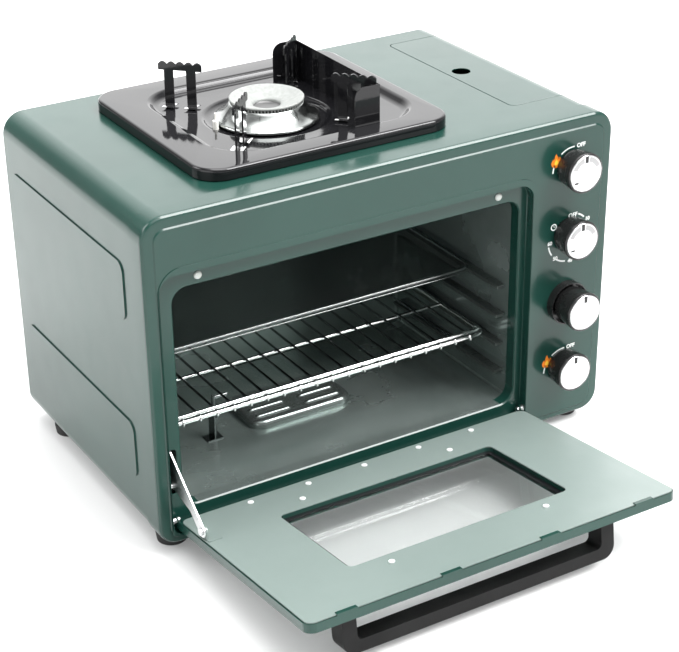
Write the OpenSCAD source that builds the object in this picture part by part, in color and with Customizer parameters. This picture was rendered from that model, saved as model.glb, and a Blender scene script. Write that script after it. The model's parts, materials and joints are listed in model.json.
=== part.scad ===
/* [Cabinet] */
// Width of the cabinet, left to right
cabinet_w = 477.5; // [470:0.5:490]
// Depth of the cabinet, front face to back
cabinet_d = 293.4; // [288:0.2:310]
// Height of the top of the front frame above the table
cabinet_top = 320; // [318:0.5:330]
// Height of the rubber feet under the front frame
foot_h = 10.3; // [9:0.1:11]
// Corner radius along the top edges
top_r = 22; // [20:1:26]
// Corner radius along the bottom edges
bottom_r = 19; // [16:1:22]
// Thickness of the painted sheet steel
sheet = 1; // [0.8:0.1:1]
// How far the front frame wraps back over the shell
frame_wrap = 24; // [22:1:26]
// Step from the frame's wrap down to the shell
shell_inset = 1.2; // [1.2:0.1:1.4]

/* [Oven] */
// Width of the oven cavity
cavity_w = 355.6; // [352:0.2:356]
// Left wall of the oven cavity
cavity_left = -212.6; // [-213:0.2:-212]
// Floor of the oven cavity
cavity_floor = 40; // [40:0.5:41]
// Height of the oven cavity
cavity_h = 218.4; // [212:0.2:219]
// Back wall of the oven cavity
cavity_back = 216; // [214:0.5:220]
// Height of the lowest rack rib's top
first_rib = 65.7; // [64:0.1:66]
// Height from one rack rib to the next
rib_pitch = 30; // [29.9:0.05:30.1]

/* [Door] */
// Angle of the door in this pose, down from closed
door_open = 83; // [0:1:83]
// Left edge of the door
door_left = -221.2; // [-222:0.1:-221]
// Right edge of the door
door_right = 146.6; // [146:0.1:147]
// Top edge of the door when it is closed
door_top = 262; // [261:0.2:262.4]
// Depth of the door's folded edge
door_t = 9; // [8.8:0.1:9]
// Width of the window
window_w = 222.6; // [200:0.2:224]
// Height of the window
window_h = 119; // [100:0.5:122]

/* [Stove] */
// Left to right place of the burner
burner_x = -40.5; // [-42:0.5:-39]
// Front to back place of the burner
burner_y = 147; // [145:0.5:149]
// Height of the top of the pan supports
support_top = 368; // [364:0.5:372]
// Outer radius of the pan supports
support_r = 101; // [98:0.5:101]
// Radius of the burner cap
cap_r = 34; // [32:0.5:35]
// Height of the drip tray's rim
tray_top = 330; // [329:0.5:331]

/* [Controls] */
// Left to right place of the four knobs
knob_x = 192; // [191:0.5:193]
// Radius of the knobs
knob_r = 19.2; // [18:0.2:19.4]
// Length of the turning knobs
knob_len = 20.6; // [19:0.2:22]
// How far the safety button travels
button_travel = 5; // [4:0.5:5]

/* [Gas bay] */
// Radius of the gas canister that the bay takes
canister_r = 33; // [32:0.5:33]
// Left to right place of the canister's axis
canister_x = 199; // [198.5:0.5:199]
// Height of the canister's axis
canister_z = 283; // [282.5:0.5:283]

/* [Hidden] */
$fn = 48;
hull_fn = 32;
eps = 0.01;
half_w = cabinet_w / 2;
run_gap = 0.05;
seat_gap = 0.05;

// Cabinet planes
skin = 1.2;
shell_out = half_w - shell_inset;
shell_top = cabinet_top - shell_inset;
shell_low = foot_h + shell_inset;
shell_front = 14;
floor_plate_z = shell_low + sheet + seat_gap;
back_y = cabinet_d - 3;
divider_x = 156;

// Door recess in the front frame, with its stop face at the bottom of it
recess_low = [-226, 20];
recess_high = [150, 266];
recess_r = 15;
landing_y = 8;
mouth_low = [-210, cavity_floor];
mouth_high = [141.5, 248.8];
mouth_r = 14;
field_low = [-227, 22];
field_high = [227, 308];
bead_w = 7;

// Door hinge and closed planes
hinge_y = 3.5;
hinge_z = 32;
door_in_y = 5;
door_out_y = door_in_y - door_t;
door_low = 27.7;
window_left = -147.7;
window_low = 84;
window_r = 6;
pin_r = 2.5;
door_mid_x = (door_left + door_right) / 2;

// Door stay: pivot on the closed door and angle of the arm on the open one
stay_y = 12.4;
stay_z = 81.7;
stay_x = -220.3;
stay_t = 1.5;
stay_angle = 38.5;
stay_pin_r = 2;
stay_open_y = hinge_y + (stay_y - hinge_y) * cos(door_open) - (stay_z - hinge_z) * sin(door_open);
stay_open_z = hinge_z + (stay_y - hinge_y) * sin(door_open) + (stay_z - hinge_z) * cos(door_open);

// Knob heights, from the top
stove_knob_z = 273.5;
timer_knob_z = 207;
button_z = 137.8;
oven_knob_z = 69.7;
spindle_r = 3;
panel_y = -1;

// The origin is the middle of the whole outline with the door open
door_front_y = hinge_y + (door_out_y - hinge_y) * cos(door_open) - (door_top - hinge_z) * sin(door_open);
mid_y = (cabinet_d + door_front_y) / 2;

// Oven planes
liner_right = cavity_left + cavity_w;
liner_top = cavity_floor + cavity_h;
liner_front = landing_y + skin + seat_gap;
rib_w = 9;
rack_low = [-206, 48];
rack_high = [135, 203];
rack_wire_r = 2;
rack_z = first_rib + rib_pitch + 0.3 + rack_wire_r;
tray_rim_z = first_rib + 3 * rib_pitch + 0.3;

// Lid over the gas bay
lid_left = 165.5;
lid_front = 56.5;
lid_back = 267;
lid_low = 250;
lid_gap = 0.8;
lid_pin_x = 230;
lid_pin_z = 258;
lid_pin_r = 2;

// Drip tray
pan_low = [-159.5, 39];
pan_high = [92, 270];
well_low = [-126, 64];
well_high = [76, 242];
well_floor = tray_top - 6;
shield_x = 32.2;
shield_half = 74;
shield_top = 361;

paint = [0.16, 0.34, 0.29];
bare_steel = [0.68, 0.7, 0.7];
black = [0.06, 0.06, 0.06];
brass_tone = [0.75, 0.6, 0.3];

// Everything is drawn with y = 0 at the front face, then moved to the shared origin
module placed() {
  translate([0, -mid_y, 0]) children();
}

// A flat outline in x and z, swept from y0 back to y1
module along_y(y0, y1) {
  translate([0, y1, 0]) rotate([90, 0, 0]) linear_extrude(y1 - y0) children();
}

// A flat outline in y and z, swept from x0 to x1
module along_x(x0, x1) {
  translate([x0, 0, 0]) rotate([90, 0, 90]) linear_extrude(x1 - x0) children();
}

// A flat outline in x and y, raised from z0 to z1
module slab(z0, z1) {
  translate([0, 0, z0]) linear_extrude(z1 - z0) children();
}

module rod_y(x, z, r, y0, y1) {
  translate([x, y1, z]) rotate([90, 0, 0]) cylinder(r = r, h = y1 - y0);
}

module rod_x(y, z, r, x0, x1) {
  translate([x0, y, z]) rotate([0, 90, 0]) cylinder(r = r, h = x1 - x0);
}

module rod_z(x, y, r, z0, z1) {
  translate([x, y, z0]) cylinder(r = r, h = z1 - z0);
}

module block(low, high) {
  translate(low) cube(high - low);
}

module rounded_rect(low, high, r) {
  translate([low.x + r, low.y]) square([high.x - low.x - 2 * r, high.y - low.y]);
  translate([low.x, low.y + r]) square([high.x - low.x, high.y - low.y - 2 * r]);
  for (x = [low.x + r, high.x - r], y = [low.y + r, high.y - r]) translate([x, y]) circle(r);
}

// A rectangle grown outwards by g on all sides
module grown_rect(low, high, r, g) {
  rounded_rect(low - [g, g], high + [g, g], r + g);
}

// The cabinet's outline from the front, drawn in by inset
module casing(inset = 0) {
  half = half_w - inset;
  low = foot_h + inset;
  high = cabinet_top - inset;
  rt = top_r - inset;
  rb = bottom_r - inset;
  mid = (low + high) / 2;
  translate([-half, low + rb]) square([2 * half, high - low - rt - rb]);
  translate([-half + rb, low]) square([2 * (half - rb), mid - low]);
  translate([-half + rt, mid]) square([2 * (half - rt), high - mid]);
  for (s = [-1, 1]) {
    translate([s * (half - rb), low + rb]) circle(rb);
    translate([s * (half - rt), high - rt]) circle(rt);
  }
}

// A run of straight tubes through a list of points, with a round elbow at each bend
module pipe(points, r) {
  for (i = [0:len(points) - 2]) {
    run = points[i + 1] - points[i];
    flat = norm([run.x, run.y]);
    translate(points[i]) rotate([0, atan2(flat, run.z), atan2(run.y, run.x)])
      cylinder(r = r, h = norm(run));
  }
  for (i = [1:len(points) - 2]) translate(points[i]) sphere(1.4 * r);
}

// A flat closed wire with rounded corners
module wire_loop(low, high, z, bend, r) {
  rod_x(low.y, z, r, low.x + bend, high.x - bend);
  rod_x(high.y, z, r, low.x + bend, high.x - bend);
  rod_y(low.x, z, r, low.y + bend, high.y - bend);
  rod_y(high.x, z, r, low.y + bend, high.y - bend);
  corner = [[high.x - bend, high.y - bend], [low.x + bend, high.y - bend],
            [low.x + bend, low.y + bend], [high.x - bend, low.y + bend]];
  for (i = [0:3]) translate([corner[i].x, corner[i].y, z]) rotate(90 * i)
    rotate_extrude(angle = 90) translate([bend, 0]) circle(r, $fn = 20);
}

// Turns the closed door's pieces about the hinge into the open pose
module on_door() {
  placed() translate([0, hinge_y, hinge_z]) rotate([door_open, 0, 0])
    translate([0, -hinge_y, -hinge_z]) children();
}

module lid_region(gap) {
  rounded_rect([lid_left - gap, lid_front - gap], [half_w + 20, lid_back + gap], 6 + gap);
}

// Raised panel pressed outwards in a side wall
module side_panel(side, low, high) {
  x0 = side < 0 ? -half_w : shell_out - eps;
  x1 = side < 0 ? -shell_out + eps : half_w;
  along_x(x0, x1) rounded_rect(low, high, 10);
}

foot_x = 208;
foot_y = [34, 262];
vent_y = [for (i = [0:6]) 60 + 28 * i];
flange_y = back_y - 1.2;
flange_w = 24;
back_screws = [for (x = [-200, 0, 200], z = [30, 300]) [x, z]];
spigot_r = 18.9;

module foot_places() {
  for (x = [-foot_x, foot_x], y = foot_y) translate([x, y, 0]) children();
}

module outer_shell() color(paint) placed() difference() {
  union() {
    difference() {
      union() {
        along_y(shell_front, cabinet_d) casing(shell_inset);
        side_panel(-1, [40.5, 213], [279, 268]);
        side_panel(-1, [41, 59], [274, 115]);
        side_panel(1, [41, 59], [274, 115]);
      }
      along_y(shell_front - 1, cabinet_d + 1) casing(shell_inset + sheet);
    }
    along_y(flange_y, flange_y + sheet) difference() {
      casing(shell_inset + sheet / 2);
      rounded_rect([flange_w - half_w, 40], [half_w - flange_w, 290], 8);
    }
  }
  block([-190, 30, foot_h], [190, 284, foot_h + 8]);
  slab(lid_low - 1.2, cabinet_top + 5) lid_region(lid_gap);
  rod_z(burner_x, burner_y, spigot_r + 0.3, shell_top - 5, shell_top + 5);
  foot_places() translate([0, 0, foot_h]) cylinder(r = 2.2, h = 6);
  for (y = vent_y, z = [150, 175]) block([shell_out - 5, y, z], [half_w + 5, y + 18, z + 4]);
  for (p = back_screws) rod_y(p.x, p.y, 1.9, flange_y - 1, flange_y + 2);
}

module base_plate() color(paint) placed() difference() {
  slab(floor_plate_z, floor_plate_z + sheet) rounded_rect([-217, 27], [217, 288], 5);
  foot_places() translate([0, 0, floor_plate_z - 1]) cylinder(r = 2.2, h = 5);
  for (x = [-120:40:120]) slab(floor_plate_z - 1, floor_plate_z + 4)
    rounded_rect([x - 14, 200], [x + 14, 206], 2.9);
}

module back_panel() color(paint) placed() difference() {
  union() {
    along_y(back_y, back_y + sheet) casing(shell_inset + sheet + seat_gap);
    for (x = [-150:60:150]) along_y(back_y + eps, back_y + 2.5)
      rounded_rect([x - 20, 235], [x + 20, 243], 3.9);
  }
  for (x = [-150:60:150]) along_y(back_y - 1, back_y + 4)
    rounded_rect([x - 17, 236], [x + 17, 239], 1.4);
  for (p = back_screws) rod_y(p.x, p.y, 1.9, back_y - 1, back_y + 3);
}

// One step of the rounded front edge, between two slices of the outline
module edge_step(a0, a1, r) {
  hull() for (a = [a0, a1])
    along_y(r * (1 - sin(a)), r * (1 - sin(a)) + 0.02) casing(r * (1 - cos(a)), $fn = hull_fn);
}

// Round at the top corners and nearly square at the bottom ones, where the door's ears turn
module recess_outline(g = 0) {
  grown_rect([recess_low.x, recess_low.y + 30], recess_high, recess_r, g);
  grown_rect(recess_low, [recess_high.x, recess_high.y - 60], 4, g);
}

module mouth_outline(g = 0) {
  grown_rect(mouth_low, mouth_high, mouth_r, g);
}

module front_frame() color(paint) placed() {
  edge_r = 4;
  difference() {
    union() {
      difference() {
        union() {
          for (i = [0:2]) edge_step(30 * i, 30 * i + 30, edge_r);
          along_y(edge_r, frame_wrap) casing();
        }
        along_y(skin, edge_r + eps) casing(edge_r);
        along_y(edge_r, frame_wrap + 1) casing(skin - 0.1);
      }
      along_y(panel_y, skin) rounded_rect(field_low, field_high, 10);
      along_y(panel_y - 0.8, skin) intersection() {
        recess_outline(bead_w);
        rounded_rect(field_low, field_high, 10);
      }
      along_y(0.2, landing_y + skin) recess_outline(skin);
      along_y(landing_y, landing_y + 12) mouth_outline(skin);
    }
    along_y(-5, landing_y) recess_outline();
    along_y(-5, landing_y + 13) mouth_outline();
    along_y(landing_y - 1, landing_y + 3) rounded_rect([-223.8, 56], [-214.9, 100], 3);
    for (z = [stove_knob_z, timer_knob_z, button_z, oven_knob_z]) rod_y(knob_x, z, 5, -3, 3);
    rod_x(hinge_y, hinge_z, pin_r + 0.1, recess_low.x - 3, recess_high.x + 3);
  }
}

module oven_liner() color(bare_steel) placed() difference() {
  block([cavity_left - sheet, liner_front, cavity_floor - sheet],
        [liner_right + sheet, cavity_back + sheet, liner_top + sheet]);
  block([cavity_left, liner_front - 1, cavity_floor], [liner_right, cavity_back, liner_top]);
  block([cavity_left + 1, liner_front - 1, cavity_floor - 5],
        [liner_right - 1, landing_y + 12.3, cavity_floor + 1]);
  block([-90, 95, cavity_floor - 5], [6, 143, cavity_floor + 1]);
}

module rack_rails() color(bare_steel) placed() for (i = [0:3]) {
  z = first_rib + rib_pitch * i;
  block([cavity_left + 0.02, 28, z - 3.5], [cavity_left + rib_w, 208, z]);
  block([liner_right - rib_w, 28, z - 3.5], [liner_right - 0.02, 208, z]);
}

cover_low = [-97, 88];
cover_high = [13, 150];
cover_top = 48.5;

module louvres(inset, z0, z1) {
  for (x = [-90, -36.5], y = [96, 110]) slab(z0, z1)
    square_at(x + inset, y - inset, 39 - inset, 7);
}

module burner_cover() color(bare_steel) placed() difference() {
  union() {
    slab(cavity_floor + 0.02, cover_top - 3) rounded_rect(cover_low, cover_high, 14);
    slab(cavity_floor + 1, cover_top) rounded_rect(cover_low + [2.2, 2.2], cover_high - [2.2, 2.2], 11.8);
    louvres(0, cover_top - eps, cover_top + 2);
  }
  slab(cavity_floor - 1, cover_top - 4) rounded_rect(cover_low + [1, 1], cover_high - [1, 1], 13);
  slab(cavity_floor - 1, cover_top - sheet)
    rounded_rect(cover_low + [3.2, 3.2], cover_high - [3.2, 3.2], 10.8);
  louvres(1, cover_top - 2, cover_top + 1);
}

module square_at(x, y, w, d) {
  translate([x, y]) square([w, d]);
}

module insulation() color("khaki") placed() difference() {
  block([cavity_left - sheet, 24, cavity_floor], [154.5, 236, liner_top + 16]);
  block([cavity_left - 5, 20, 0],
        [liner_right + sheet + 0.1, cavity_back + sheet + 0.1, liner_top + sheet + 0.1]);
}

mixer_z = 290;
mixer_r = 9;
oven_burner_y = 115;
oven_burner_z = 27;

module divider_wall() color(bare_steel) placed() difference() {
  block([divider_x, 26, floor_plate_z + sheet + 0.05],
        [divider_x + sheet, flange_y - 0.2, shell_top - sheet - 0.05]);
  rod_x(burner_y, mixer_z, 13, divider_x - 5, divider_x + 5);
  rod_x(oven_burner_y, oven_burner_z, 8, divider_x - 5, divider_x + 5);
}

module rubber_feet() color(black) placed() foot_places() difference() {
  union() {
    cylinder(r1 = 13.5, r2 = 15, h = foot_h);
    cylinder(r = 9.5, h = shell_low);
  }
  translate([0, 0, -1]) cylinder(r = 4.5, h = 6);
  cylinder(r = 2.1, h = 20);
}

module cabinet_screws() color(bare_steel) placed() {
  foot_places() {
    translate([0, 0, 2.6]) cylinder(r = 4, h = 2.4);
    translate([0, 0, 4]) cylinder(r = 2, h = 14);
    translate([0, 0, floor_plate_z + sheet]) difference() {
      cylinder(r = 4, h = 3, $fn = 6);
      translate([0, 0, -1]) cylinder(r = 2 - eps, h = 5);
    }
  }
  for (p = back_screws) {
    rod_y(p.x, p.y, 3.6, back_y + sheet, back_y + sheet + 1.9);
    rod_y(p.x, p.y, 1.8, back_y - 5, back_y + sheet + 1);
  }
}

module door_bumpers() color("silver") placed()
  for (x = [-185.7, 117.3]) translate([x, landing_y, 257.4]) rotate([90, 0, 0])
    rotate_extrude() polygon([[0, 0], [3.6, 0], [3.6, 0.9], [2.4, 1.9], [0, 1.9]]);

module stay_guide() color(bare_steel) placed() {
  guide_y = 12.6;
  guide_z = 61.5;
  difference() {
    union() {
      block([-225.2, landing_y + skin + 0.05, 53], [-224.2, 17, 70]);
      block([-232, landing_y + skin + 0.05, 53], [-224.2, landing_y + skin + 1.05, 70]);
    }
    rod_x(guide_y, guide_z, 2.5, -230, -220);
  }
  rod_x(guide_y, guide_z, 2.5, -226.4, -216.6);
  rod_x(guide_y, guide_z, 3.5, -216.6, -215.2);
}

module drip_tray() color(black) placed() difference() {
  union() {
    difference() {
      slab(shell_top + seat_gap, tray_top) rounded_rect(pan_low, pan_high, 25);
      slab(shell_top - 1, tray_top - 1.2) rounded_rect(pan_low + [1.2, 1.2], pan_high - [1.2, 1.2], 23.8);
    }
    slab(well_floor - 1.2, tray_top - 1) grown_rect(well_low, well_high, 40, 1.2);
    rod_z(burner_x, burner_y, 60, well_floor - 3, well_floor - 1);
  }
  slab(well_floor, tray_top + 1) rounded_rect(well_low, well_high, 40);
  rod_z(burner_x, burner_y, 57, well_floor - 6, tray_top);
}

comb_w = 41;
comb_in = support_r - comb_w;
leg_w = 8.7;
leg_r = [66, 87];
comb_h = 8;
support_t = 1.6;

module support_plate() {
  translate([comb_in, support_top - comb_h]) square([comb_w, comb_h - 2.5]);
  for (i = [0:4]) translate([comb_in + 8.6 * i, support_top - 3]) square([6.6, 3]);
  for (r = leg_r) translate([r, well_floor + 0.02]) square([leg_w, support_top - well_floor - comb_h]);
}

module at_supports() {
  for (a = [45:90:315]) translate([burner_x, burner_y, 0]) rotate(a) children();
}

module pan_supports() color(black) placed() at_supports()
  translate([0, support_t / 2, 0]) rotate([90, 0, 0]) linear_extrude(support_t) support_plate();

module support_tabs() color("silver") placed() at_supports() for (r = leg_r) difference() {
  block([r - 2.2, -4.6, well_floor + 0.02], [r + leg_w + 2.2, 4.6, well_floor + 1.4]);
  block([r - 0.1, -support_t / 2 - 0.1, well_floor - 1],
        [r + leg_w + 0.1, support_t / 2 + 0.1, well_floor + 2]);
}

module wind_shield() color(black) placed() {
  wall_t = 0.8;
  wing = 25;
  low = well_floor + 0.02;
  along_x(shield_x, shield_x + wall_t) translate([burner_y - shield_half, low])
    square([2 * shield_half, shield_top - low]);
  for (s = [-1, 1]) {
    y0 = s < 0 ? burner_y - shield_half : burner_y + shield_half - wall_t;
    along_y(y0, y0 + wall_t) {
      translate([shield_x - wing, low]) square([wing + wall_t, shield_top - low - 10]);
      translate([shield_x - wing + 10, low]) square([wing - 10 + wall_t, shield_top - low]);
      translate([shield_x - wing + 10, shield_top - 10]) circle(10);
    }
  }
}

module at_burner() {
  placed() translate([burner_x, burner_y, 0]) children();
}

module stove_burner_cup() color("silver") at_burner() rotate_extrude() polygon([
  [mixer_r + run_gap, 316], [spigot_r, 316], [spigot_r, shell_top + seat_gap], [30, shell_top + seat_gap],
  [30, 321.6], [46, 323.4], [48, 325], [47.4, 326.2], [42, 328.4], [37.5, 331.6], [34, 335.6],
  [33, 337.4], [29, 337.4], [29, 326], [19, 323.4], [mixer_r + run_gap, 323.4]
]);

module stove_burner_head() color(black) at_burner() difference() {
  rotate_extrude() polygon([
    [26.5, 327], [28.9, 327], [28.9, 337.45], [32.4, 337.45], [32.4, 339.4], [29.2, 339.4], [26.5, 337.6]
  ]);
  for (i = [0:35]) rotate(10 * i) block([30.8, -0.9, 337.9], [34, 0.9, 341]);
}

module stove_burner_cap() color("gainsboro") at_burner() rotate_extrude() polygon([
  [12.3, 333.4], [29.2, 339.42], [cap_r - 0.6, 339.42], [cap_r, 340], [cap_r, 341.3],
  [cap_r - 0.7, 341.8], [29, 340.7], [20, 337.5], [12.8, 334.9], [12.3, 334.5]
]);

module stove_mixing_tube() color(bare_steel) placed() difference() {
  union() {
    rod_x(burner_y, mixer_z, mixer_r, burner_x, divider_x - 6);
    translate([burner_x, burner_y, mixer_z]) sphere(1.2 * mixer_r);
    rod_z(burner_x, burner_y, mixer_r, mixer_z, 321);
    rod_x(burner_y, mixer_z, 12, divider_x - 14, divider_x - 1);
  }
  rod_x(burner_y, mixer_z, mixer_r - 1.2, burner_x, divider_x + 5);
  rod_z(burner_x, burner_y, mixer_r - 1.4, mixer_z, 325);
}

module stove_igniter() color("white") placed() {
  spark_x = burner_x - 52;
  rod_z(spark_x, burner_y, 2.6, shell_top + 0.05, 329);
  rod_z(spark_x, burner_y, 1, 328.9, 336);
}

module oven_burner() color(bare_steel) placed() difference() {
  union() {
    rod_x(oven_burner_y, oven_burner_z, 6, -96, divider_x + 8);
    rod_x(oven_burner_y, oven_burner_z, 7.4, -98, -92);
    rod_x(oven_burner_y, oven_burner_z, 7.4, divider_x - 8, divider_x - 2);
    for (x = [-80, 60]) block([x, oven_burner_y - 9, floor_plate_z + sheet + 0.05],
                              [x + 2, oven_burner_y + 9, oven_burner_z]);
  }
  rod_x(oven_burner_y, oven_burner_z, 5, -92, divider_x + 12);
  for (x = [-86:12:-14]) rod_z(x, oven_burner_y, 1.4, oven_burner_z, oven_burner_z + 9);
}

module flame_sensor() color("silver") placed() {
  block([-142, 94, cavity_floor + 0.02], [-126, 106, cavity_floor + 1.2]);
  block([-135, 94, cavity_floor + 0.02], [-133.8, 106, 66]);
  rod_z(-132, 100, 1.8, 44, 84);
  rod_x(100, 82.2, 1.8, -132, -118);
  block([-134, 97, 58], [-130, 103, 62]);
}

regulator_y = 34;
collar_r = 17;

module gas_regulator() color("silver") placed() difference() {
  union() {
    rod_y(canister_x, canister_z, 20, regulator_y, 49.95);
    rod_y(canister_x, canister_z, collar_r, 49.9, 56.5);
    rod_y(canister_x, canister_z, 9, regulator_y - 1, regulator_y + 1);
  }
  rod_y(canister_x, canister_z, 13.6, 51, 60);
  rod_y(canister_x, canister_z, 2.4, 44, 60);
}

module gas_pipes() color(brass_tone) placed() {
  side_x = 222;
  bay_x = 162;
  low_z = 255;
  pipe([[canister_x, 42, canister_z - 20.05], [canister_x, 42, 234], [side_x, 42, 234],
        [side_x, 42, button_z], [knob_x + 14.05, 42, button_z]], 2.5);
  rod_z(knob_x, 36, 2.5, oven_knob_z + 15.35, button_z - 13.85);
  pipe([[knob_x, 40.05, 64], [knob_x, 92, 64], [knob_x, 92, oven_burner_z],
        [knob_x, oven_burner_y, oven_burner_z], [divider_x + 4, oven_burner_y, oven_burner_z]], 2.5);
  pipe([[knob_x - 12.05, 20, 268], [bay_x, 20, 268], [bay_x, 20, low_z], [bay_x, burner_y, low_z],
        [bay_x, burner_y, mixer_z], [divider_x - 4, burner_y, mixer_z]], 2.5);
}

// A gas valve's body, with a blind bore for the knob's spindle
module valve_body(z, depth, half) {
  difference() {
    union() {
      block([knob_x - half, 3, z - half], [knob_x + half, depth, z + half]);
      rod_y(knob_x, z, 8, 1.3, 4);
    }
    rod_y(knob_x, z, spindle_r + run_gap, 0, 22);
  }
}

module stove_valve() color(brass_tone) placed() valve_body(stove_knob_z, 32.9, 12);

module oven_valve() color(brass_tone) placed() valve_body(oven_knob_z, 40, 15.3);

module timer_unit() color("ivory") placed() difference() {
  union() {
    rod_y(knob_x, timer_knob_z, 24, 5, 38);
    rod_y(knob_x, timer_knob_z, 8, 1.3, 6);
    block([knob_x - 20, 20, timer_knob_z - 30], [knob_x + 20, 32, timer_knob_z + 30]);
  }
  rod_y(knob_x, timer_knob_z, spindle_r + run_gap, 0, 22);
}

module safety_valve() color(brass_tone) placed() difference() {
  union() {
    block([knob_x - 13.8, 3, button_z - 13.8], [knob_x + 14, 46, button_z + 13.8]);
    rod_y(knob_x, button_z, 8, 1.3, 4);
  }
  rod_y(knob_x, button_z, spindle_r + run_gap, 0, 32);
}

module button_guide() color(black) placed() difference() {
  rod_y(knob_x, button_z, knob_r + 1.7, panel_y - 8, panel_y - 0.02);
  rod_y(knob_x, button_z, knob_r + 0.7, panel_y - 9, panel_y - 1.2);
  rod_y(knob_x, button_z, 6, panel_y - 3, 2);
}

module canister_cradle() color(bare_steel) placed() difference() {
  union() {
    block([divider_x + sheet + 0.05, 50, 243], [shell_out - sheet - 0.5, 272, 244]);
    block([divider_x + sheet + 0.05, 60, 243], [divider_x + sheet + 1.05, 262, 260]);
    for (y = [50, 271]) {
      block([170, y, 243], [235, y + 1, 290]);
      block([170, y, 289], [226, y + 1, 306]);
    }
    for (y = [90, 200]) block([172, y, 243], [218, y + 1.5, 258]);
  }
  rod_y(canister_x, canister_z, collar_r + 0.1, 45, 55);
  rod_y(canister_x, canister_z, canister_r + 0.5, 60, 260);
  rod_y(lid_pin_x, lid_pin_z, lid_pin_r, 40, 280);
}

module lid_hinge_pin() color("silver") placed() {
  rod_y(lid_pin_x, lid_pin_z, lid_pin_r, 48, 274);
  for (y = [47, 273.5]) rod_y(lid_pin_x, lid_pin_z, 3.2, y, y + 1.5);
}

module hinge_pins() color("silver") placed() {
  rod_x(hinge_y, hinge_z, pin_r, recess_low.x - 3, door_left + 3);
  rod_x(hinge_y, hinge_z, 3.4, recess_low.x + 0.02, recess_low.x + 1.6);
  rod_x(hinge_y, hinge_z, pin_r, door_right - 3, recess_high.x + 3);
  rod_x(hinge_y, hinge_z, 3.4, recess_high.x - 1.6, recess_high.x - 0.02);
}

// The closed door's outline, drawn in by inset, square at the hinge
module door_outline(inset = 0) {
  r = 9 - inset;
  low = [door_left + inset, door_low + inset];
  high = [door_right - inset, door_top - inset];
  translate(low) square([high.x - low.x, high.y - low.y - r]);
  translate([low.x + r, low.y]) square([high.x - low.x - 2 * r, high.y - low.y]);
  for (x = [low.x + r, high.x - r]) translate([x, high.y - r]) circle(r);
}

module window_outline(g = 0) {
  grown_rect([window_left, window_low], [window_left + window_w, window_low + window_h], window_r, g);
}

tab_x = [for (d = [-147.6, -49.2, 49.2, 147.6]) door_mid_x + d];

module door_outer() color(paint) on_door() {
  difference() {
    union() {
      along_y(door_out_y, door_out_y + sheet) door_outline();
      along_y(door_out_y, door_in_y - 1.1) difference() {
        door_outline();
        door_outline(sheet);
      }
      along_y(door_out_y, door_in_y - 1.05) window_outline(sheet);
      for (x = [door_left, door_right - sheet]) rod_x(hinge_y, hinge_z, 4, x, x + sheet);
    }
    block([door_left - 1, 0, door_low - 1], [door_left + 400, door_in_y, 29]);
    along_y(door_out_y + sheet, door_in_y) window_outline();
    along_y(door_out_y - 1, door_in_y) window_outline(-6);
    rod_x(hinge_y, hinge_z, pin_r + run_gap, door_left - 1, door_right + 1);
    for (x = [-177.3, 80.3]) rod_y(x, 239.9, 1.9, door_out_y - 1, door_out_y + 2);
  }
  for (x = tab_x) {
    block([x - 9.5, door_in_y - 1.2, door_top - sheet], [x + 9.5, door_in_y + 0.8, door_top]);
    block([x - 9.5, door_in_y + 0.05, door_top - 4], [x + 9.5, door_in_y + 0.8, door_top]);
  }
}

screw_low = [for (i = [-2:2]) [door_mid_x + 58.8 * i, 46.7]];
screw_side = [for (x = [-78, 78], z = [69.7, 216.2]) [door_mid_x + x, z]];
door_screw_places = concat(screw_low, screw_side);

module door_inner() color([0.6, 0.68, 0.65]) on_door() difference() {
  along_y(door_in_y - sheet, door_in_y) difference() {
    rounded_rect([door_left + 1.4, 38.3], [door_right - 1.4, door_top - 1.4], 7);
    window_outline(-0.2);
  }
  for (p = door_screw_places) rod_y(p.x, p.y, 1.3, door_in_y - 3, door_in_y + 1);
}

module window_glass() color("lightblue", 0.4) on_door()
  along_y(door_out_y + sheet + 0.02, door_out_y + sheet + 2) window_outline(-0.4);

module glass_retainer() color(black) on_door() difference() {
  along_y(door_out_y + sheet + 2.02, door_out_y + sheet + 3.4) window_outline(-0.3);
  along_y(door_out_y, door_in_y) window_outline(-5);
}

handle_left = -184;
handle_right = 87;
handle_bar = 11.4;
handle_leg = 13.4;
handle_reach = door_in_y - 49.1;

module door_handle() color(black) on_door() difference() {
  slab(230.7, 249) difference() {
    rounded_rect([handle_left, handle_reach], [handle_right, 20], 12);
    rounded_rect([handle_left + handle_leg, handle_reach + handle_bar], [handle_right - handle_leg, 21], 5);
    square_at(handle_left - 1, door_out_y - 0.02, 300, 40);
  }
  for (x = [-177.3, 80.3]) rod_y(x, 239.9, 1.8, door_out_y - 12, door_out_y + 1);
}

module handle_screws() color("silver") on_door() for (x = [-177.3, 80.3]) {
  rod_y(x, 239.9, 1.78, door_out_y - 11, door_out_y + sheet + 0.5);
  rod_y(x, 239.9, 3.6, door_out_y + sheet + 0.02, door_out_y + sheet + 2.2);
}

module door_screws() color("silver") on_door() for (p = door_screw_places) {
  rod_y(p.x, p.y, 1.2, door_in_y - 4, door_in_y + 0.5);
  rod_y(p.x, p.y, 2.8, door_in_y + 0.02, door_in_y + 1.3);
}

module stay_bracket() color(bare_steel) on_door() difference() {
  ear_x = stay_x + stay_t + 0.3;
  union() {
    along_x(ear_x, ear_x + 1.5) {
      translate([door_in_y + 0.02, stay_z - 5]) square([stay_y - door_in_y, 10]);
      translate([stay_y, stay_z]) circle(5);
    }
    block([ear_x, door_in_y + 0.02, stay_z - 9], [-206, door_in_y + 1.02, stay_z + 9]);
  }
  rod_x(stay_y, stay_z, stay_pin_r, ear_x - 1, ear_x + 3);
}

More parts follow.
